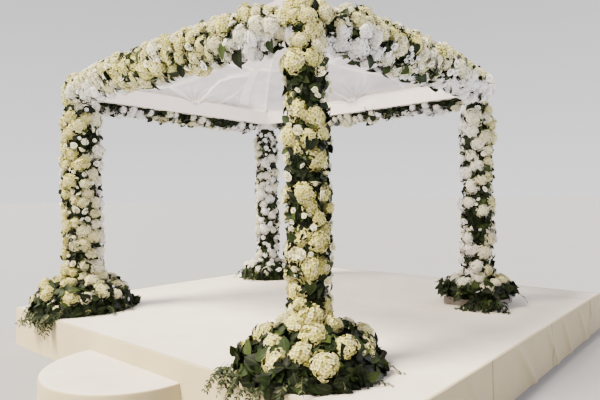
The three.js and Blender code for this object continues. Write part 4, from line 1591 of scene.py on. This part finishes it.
def make_step_cover():
    """A half disc of cloth with a gathered side. Its first rows are the side, its last rows the top."""
    radius = (STEP_HIGH[0] - STEP_LOW[0]) / 2
    centre = np.array([(STEP_HIGH[0] + STEP_LOW[0]) / 2, STEP_HIGH[1], 0.0])
    turn = np.linspace(math.pi, 2 * math.pi, 130)
    circle = round_z(turn, 1.0, 0.0)
    line = xyz(turn * radius, 0.0, 0.0)
    rows = []
    for share in np.linspace(0.0, 1.0, TOP_ROWS + 1)[:-1]:
        reach = max(share, 0.002) * (radius - 0.006)
        lift = 0.0016 + 0.002 * lattice(circle * reach, 4, 71)
        rows.append(centre + circle * reach + UP * (STEP_TOP + lift)[:, None])
    for out, drop in STEP_EDGE:
        rows.append(centre + circle * (radius + out) + UP * (STEP_TOP + 0.002 + drop))
    flare = sum(bell((turn - end) / 0.10) for end in (2 * math.pi, math.pi))
    for height in np.concatenate([np.linspace(STEP_TOP - 0.03, 0.03, 12), [0.022, 0.012, 0.002]]):
        share = 1 - height / STEP_TOP
        broad = lattice(line + UP * (share * 0.3), 5.5, 72)
        waves = broad * 0.7 + lattice(line, 12, 73) * 0.3
        push = STEP_OFF + share * (STEP_BILLOW * waves + STEP_FLARE * flare)
        rows.append(centre + circle * (radius + push)[:, None] + UP * height)
    points = np.array(rows)
    points[..., 1] = np.minimum(points[..., 1], STEP_HIGH[1] - 0.001)
    shape = Shape.grid(points[::-1], 0, 0.0)
    shape.finishes[-(TOP_ROWS * (len(turn) - 1)):] = 1
    piece = add_piece("step_cover", shape, [SKIRT_SHADED_CLOTH, COVER_CLOTH], ["step_skirt"])
    round(sheet_area(shape), 2)


# Frame pieces kept from the model

# How their names start, their finish, and the width of their rounded edges
FRAME_FINISHES = [
    (("post_", "beam_"), PAINT, 0.003),
    (("hip_rib", "crown"), RIB_PAINT, 0.0),
    (("base_tray",), TRAY_PAINT, 0.006),
    (("stage_deck", "step_platform"), PLYWOOD, 0.0),
    (("stage_trestle",), STEEL, 0.0),
]


def finish_frame():
    for (name, node), (starts, finish, bevel) in product(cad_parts.items(), FRAME_FINISHES):
        if not name.startswith(starts):
            continue
        node.data.materials.clear()
        node.data.materials.append(finish)
        if bevel:
            made = node.modifiers.new("edge", "BEVEL")
            made.width = bevel
            made.segments = 2
            made.limit_method = "ANGLE"


# Studio

# Suns: where they shine from, to the middle of the studio, their spread in degrees, power and colour
SUNS = {
    "key": ((-3.0, -5.8, 8.6), 20, 15.5, (255, 243, 216)),
    "front fill": ((0.6, -8.0, 1.3), 30, 2.0, (255, 218, 146)),
    "right fill": ((8.0, 1.5, 1.4), 30, 0.15, (236, 236, 255)),
    "back fill": ((2.5, 8.0, 3.0), 30, 1.6, (244, 242, 255)),
    "left fill": ((-8.0, 2.0, 2.4), 30, 1.2, (250, 246, 250)),
}

# Uplights: how far out from the beams and how high they are, how wide in degrees they shine, and their power
UPLIGHT_AWAY = 5.6
UPLIGHT_HEIGHT = 0.3
UPLIGHT_CONE = 50
UPLIGHT_POWER = 1600

# The light all round: its colour, how bright it is at eye level and overhead, and from how far up it is dimmest
WORLD_COLOUR = (230, 227, 228)
WORLD_LEVELS = (1.85, 0.62)
OVERHEAD_FROM = 0.7

# The floor: how far it reaches each way, and its colours
FLOOR_REACH = 600.0
FLOOR_STOPS = [(0.0, (145, 147, 155)), (1.0, (150, 152, 160))]


def add_lamp(name, kind, place, target, **settings):
    """A lamp that shines from a place to a target."""
    data = bpy.data.lights.new(name, kind)
    for key, value in settings.items():
        setattr(data, key, value)
    lamp = bpy.data.objects.new(name, data)
    bpy.context.scene.collection.objects.link(lamp)
    away = unit(place - target)
    side = unit(np.cross(UP, away))
    lamp.matrix_world = turned(place, side, np.cross(away, side), away)


def make_suns():
    for name, (place, spread, power, colour) in SUNS.items():
        light = {"angle": math.radians(spread), "energy": power, "color": linear(colour)}
        add_lamp(name, "SUN", np.array(place), np.zeros(3), **light)


def make_uplights():
    """A soft lamp on the ground for each beam's flowers, which shines up at them."""
    light = {
        "energy": UPLIGHT_POWER,
        "spot_size": math.radians(UPLIGHT_CONE),
        "spot_blend": 1.0,
        "shadow_soft_size": 0.6,
    }
    for side, out in SIDES.items():
        target = at_height(CENTRE, GARLAND_HEIGHT) + out * half_spans(side)[0]
        place = at_height(target + out * UPLIGHT_AWAY, UPLIGHT_HEIGHT)
        add_lamp("uplight " + side, "SPOT", place, target, **light)


def make_world():
    """Pale light from all round: brightest at eye level, dimmer overhead."""
    world = bpy.data.worlds.new("studio")
    bpy.context.scene.world = world
    world.use_nodes = True
    nodes, links = world.node_tree.nodes, world.node_tree.links
    sky = nodes["Background"]
    sky.inputs["Color"].default_value = (*linear(WORLD_COLOUR), 1.0)
    split = nodes.new("ShaderNodeSeparateXYZ")
    links.new(nodes.new("ShaderNodeTexCoord").outputs["Generated"], split.inputs[0])
    fade = nodes.new("ShaderNodeMapRange")
    links.new(split.outputs["Z"], fade.inputs["Value"])
    for name, value in zip(("From Min", "From Max", "To Min", "To Max"), (0.0, OVERHEAD_FROM, *WORLD_LEVELS)):
        fade.inputs[name].default_value = value
    links.new(fade.outputs["Result"], sky.inputs["Strength"])


def make_studio():
    corners = [at_height(FLOOR_REACH * np.array(corner), 0.0) for corner in CORNERS.values()]
    finish = plain_finish("studio floor", 0.8, 0.2, (0.6, 2), FLOOR_STOPS)
    floor = add_object("floor", Shape.of(corners, [[0, 1, 2, 3]], 0, [0.5] * 4), [finish])
    make_world()
    make_suns()
    make_uplights()


make_camera()
finish_frame()
make_cover()
make_skirts()
make_step_cover()
make_roof()
make_front_swag()
for name in CORNERS:
    make_column(name)
    make_mound(name)
for name in SIDES:
    make_garland(name)
make_studio()
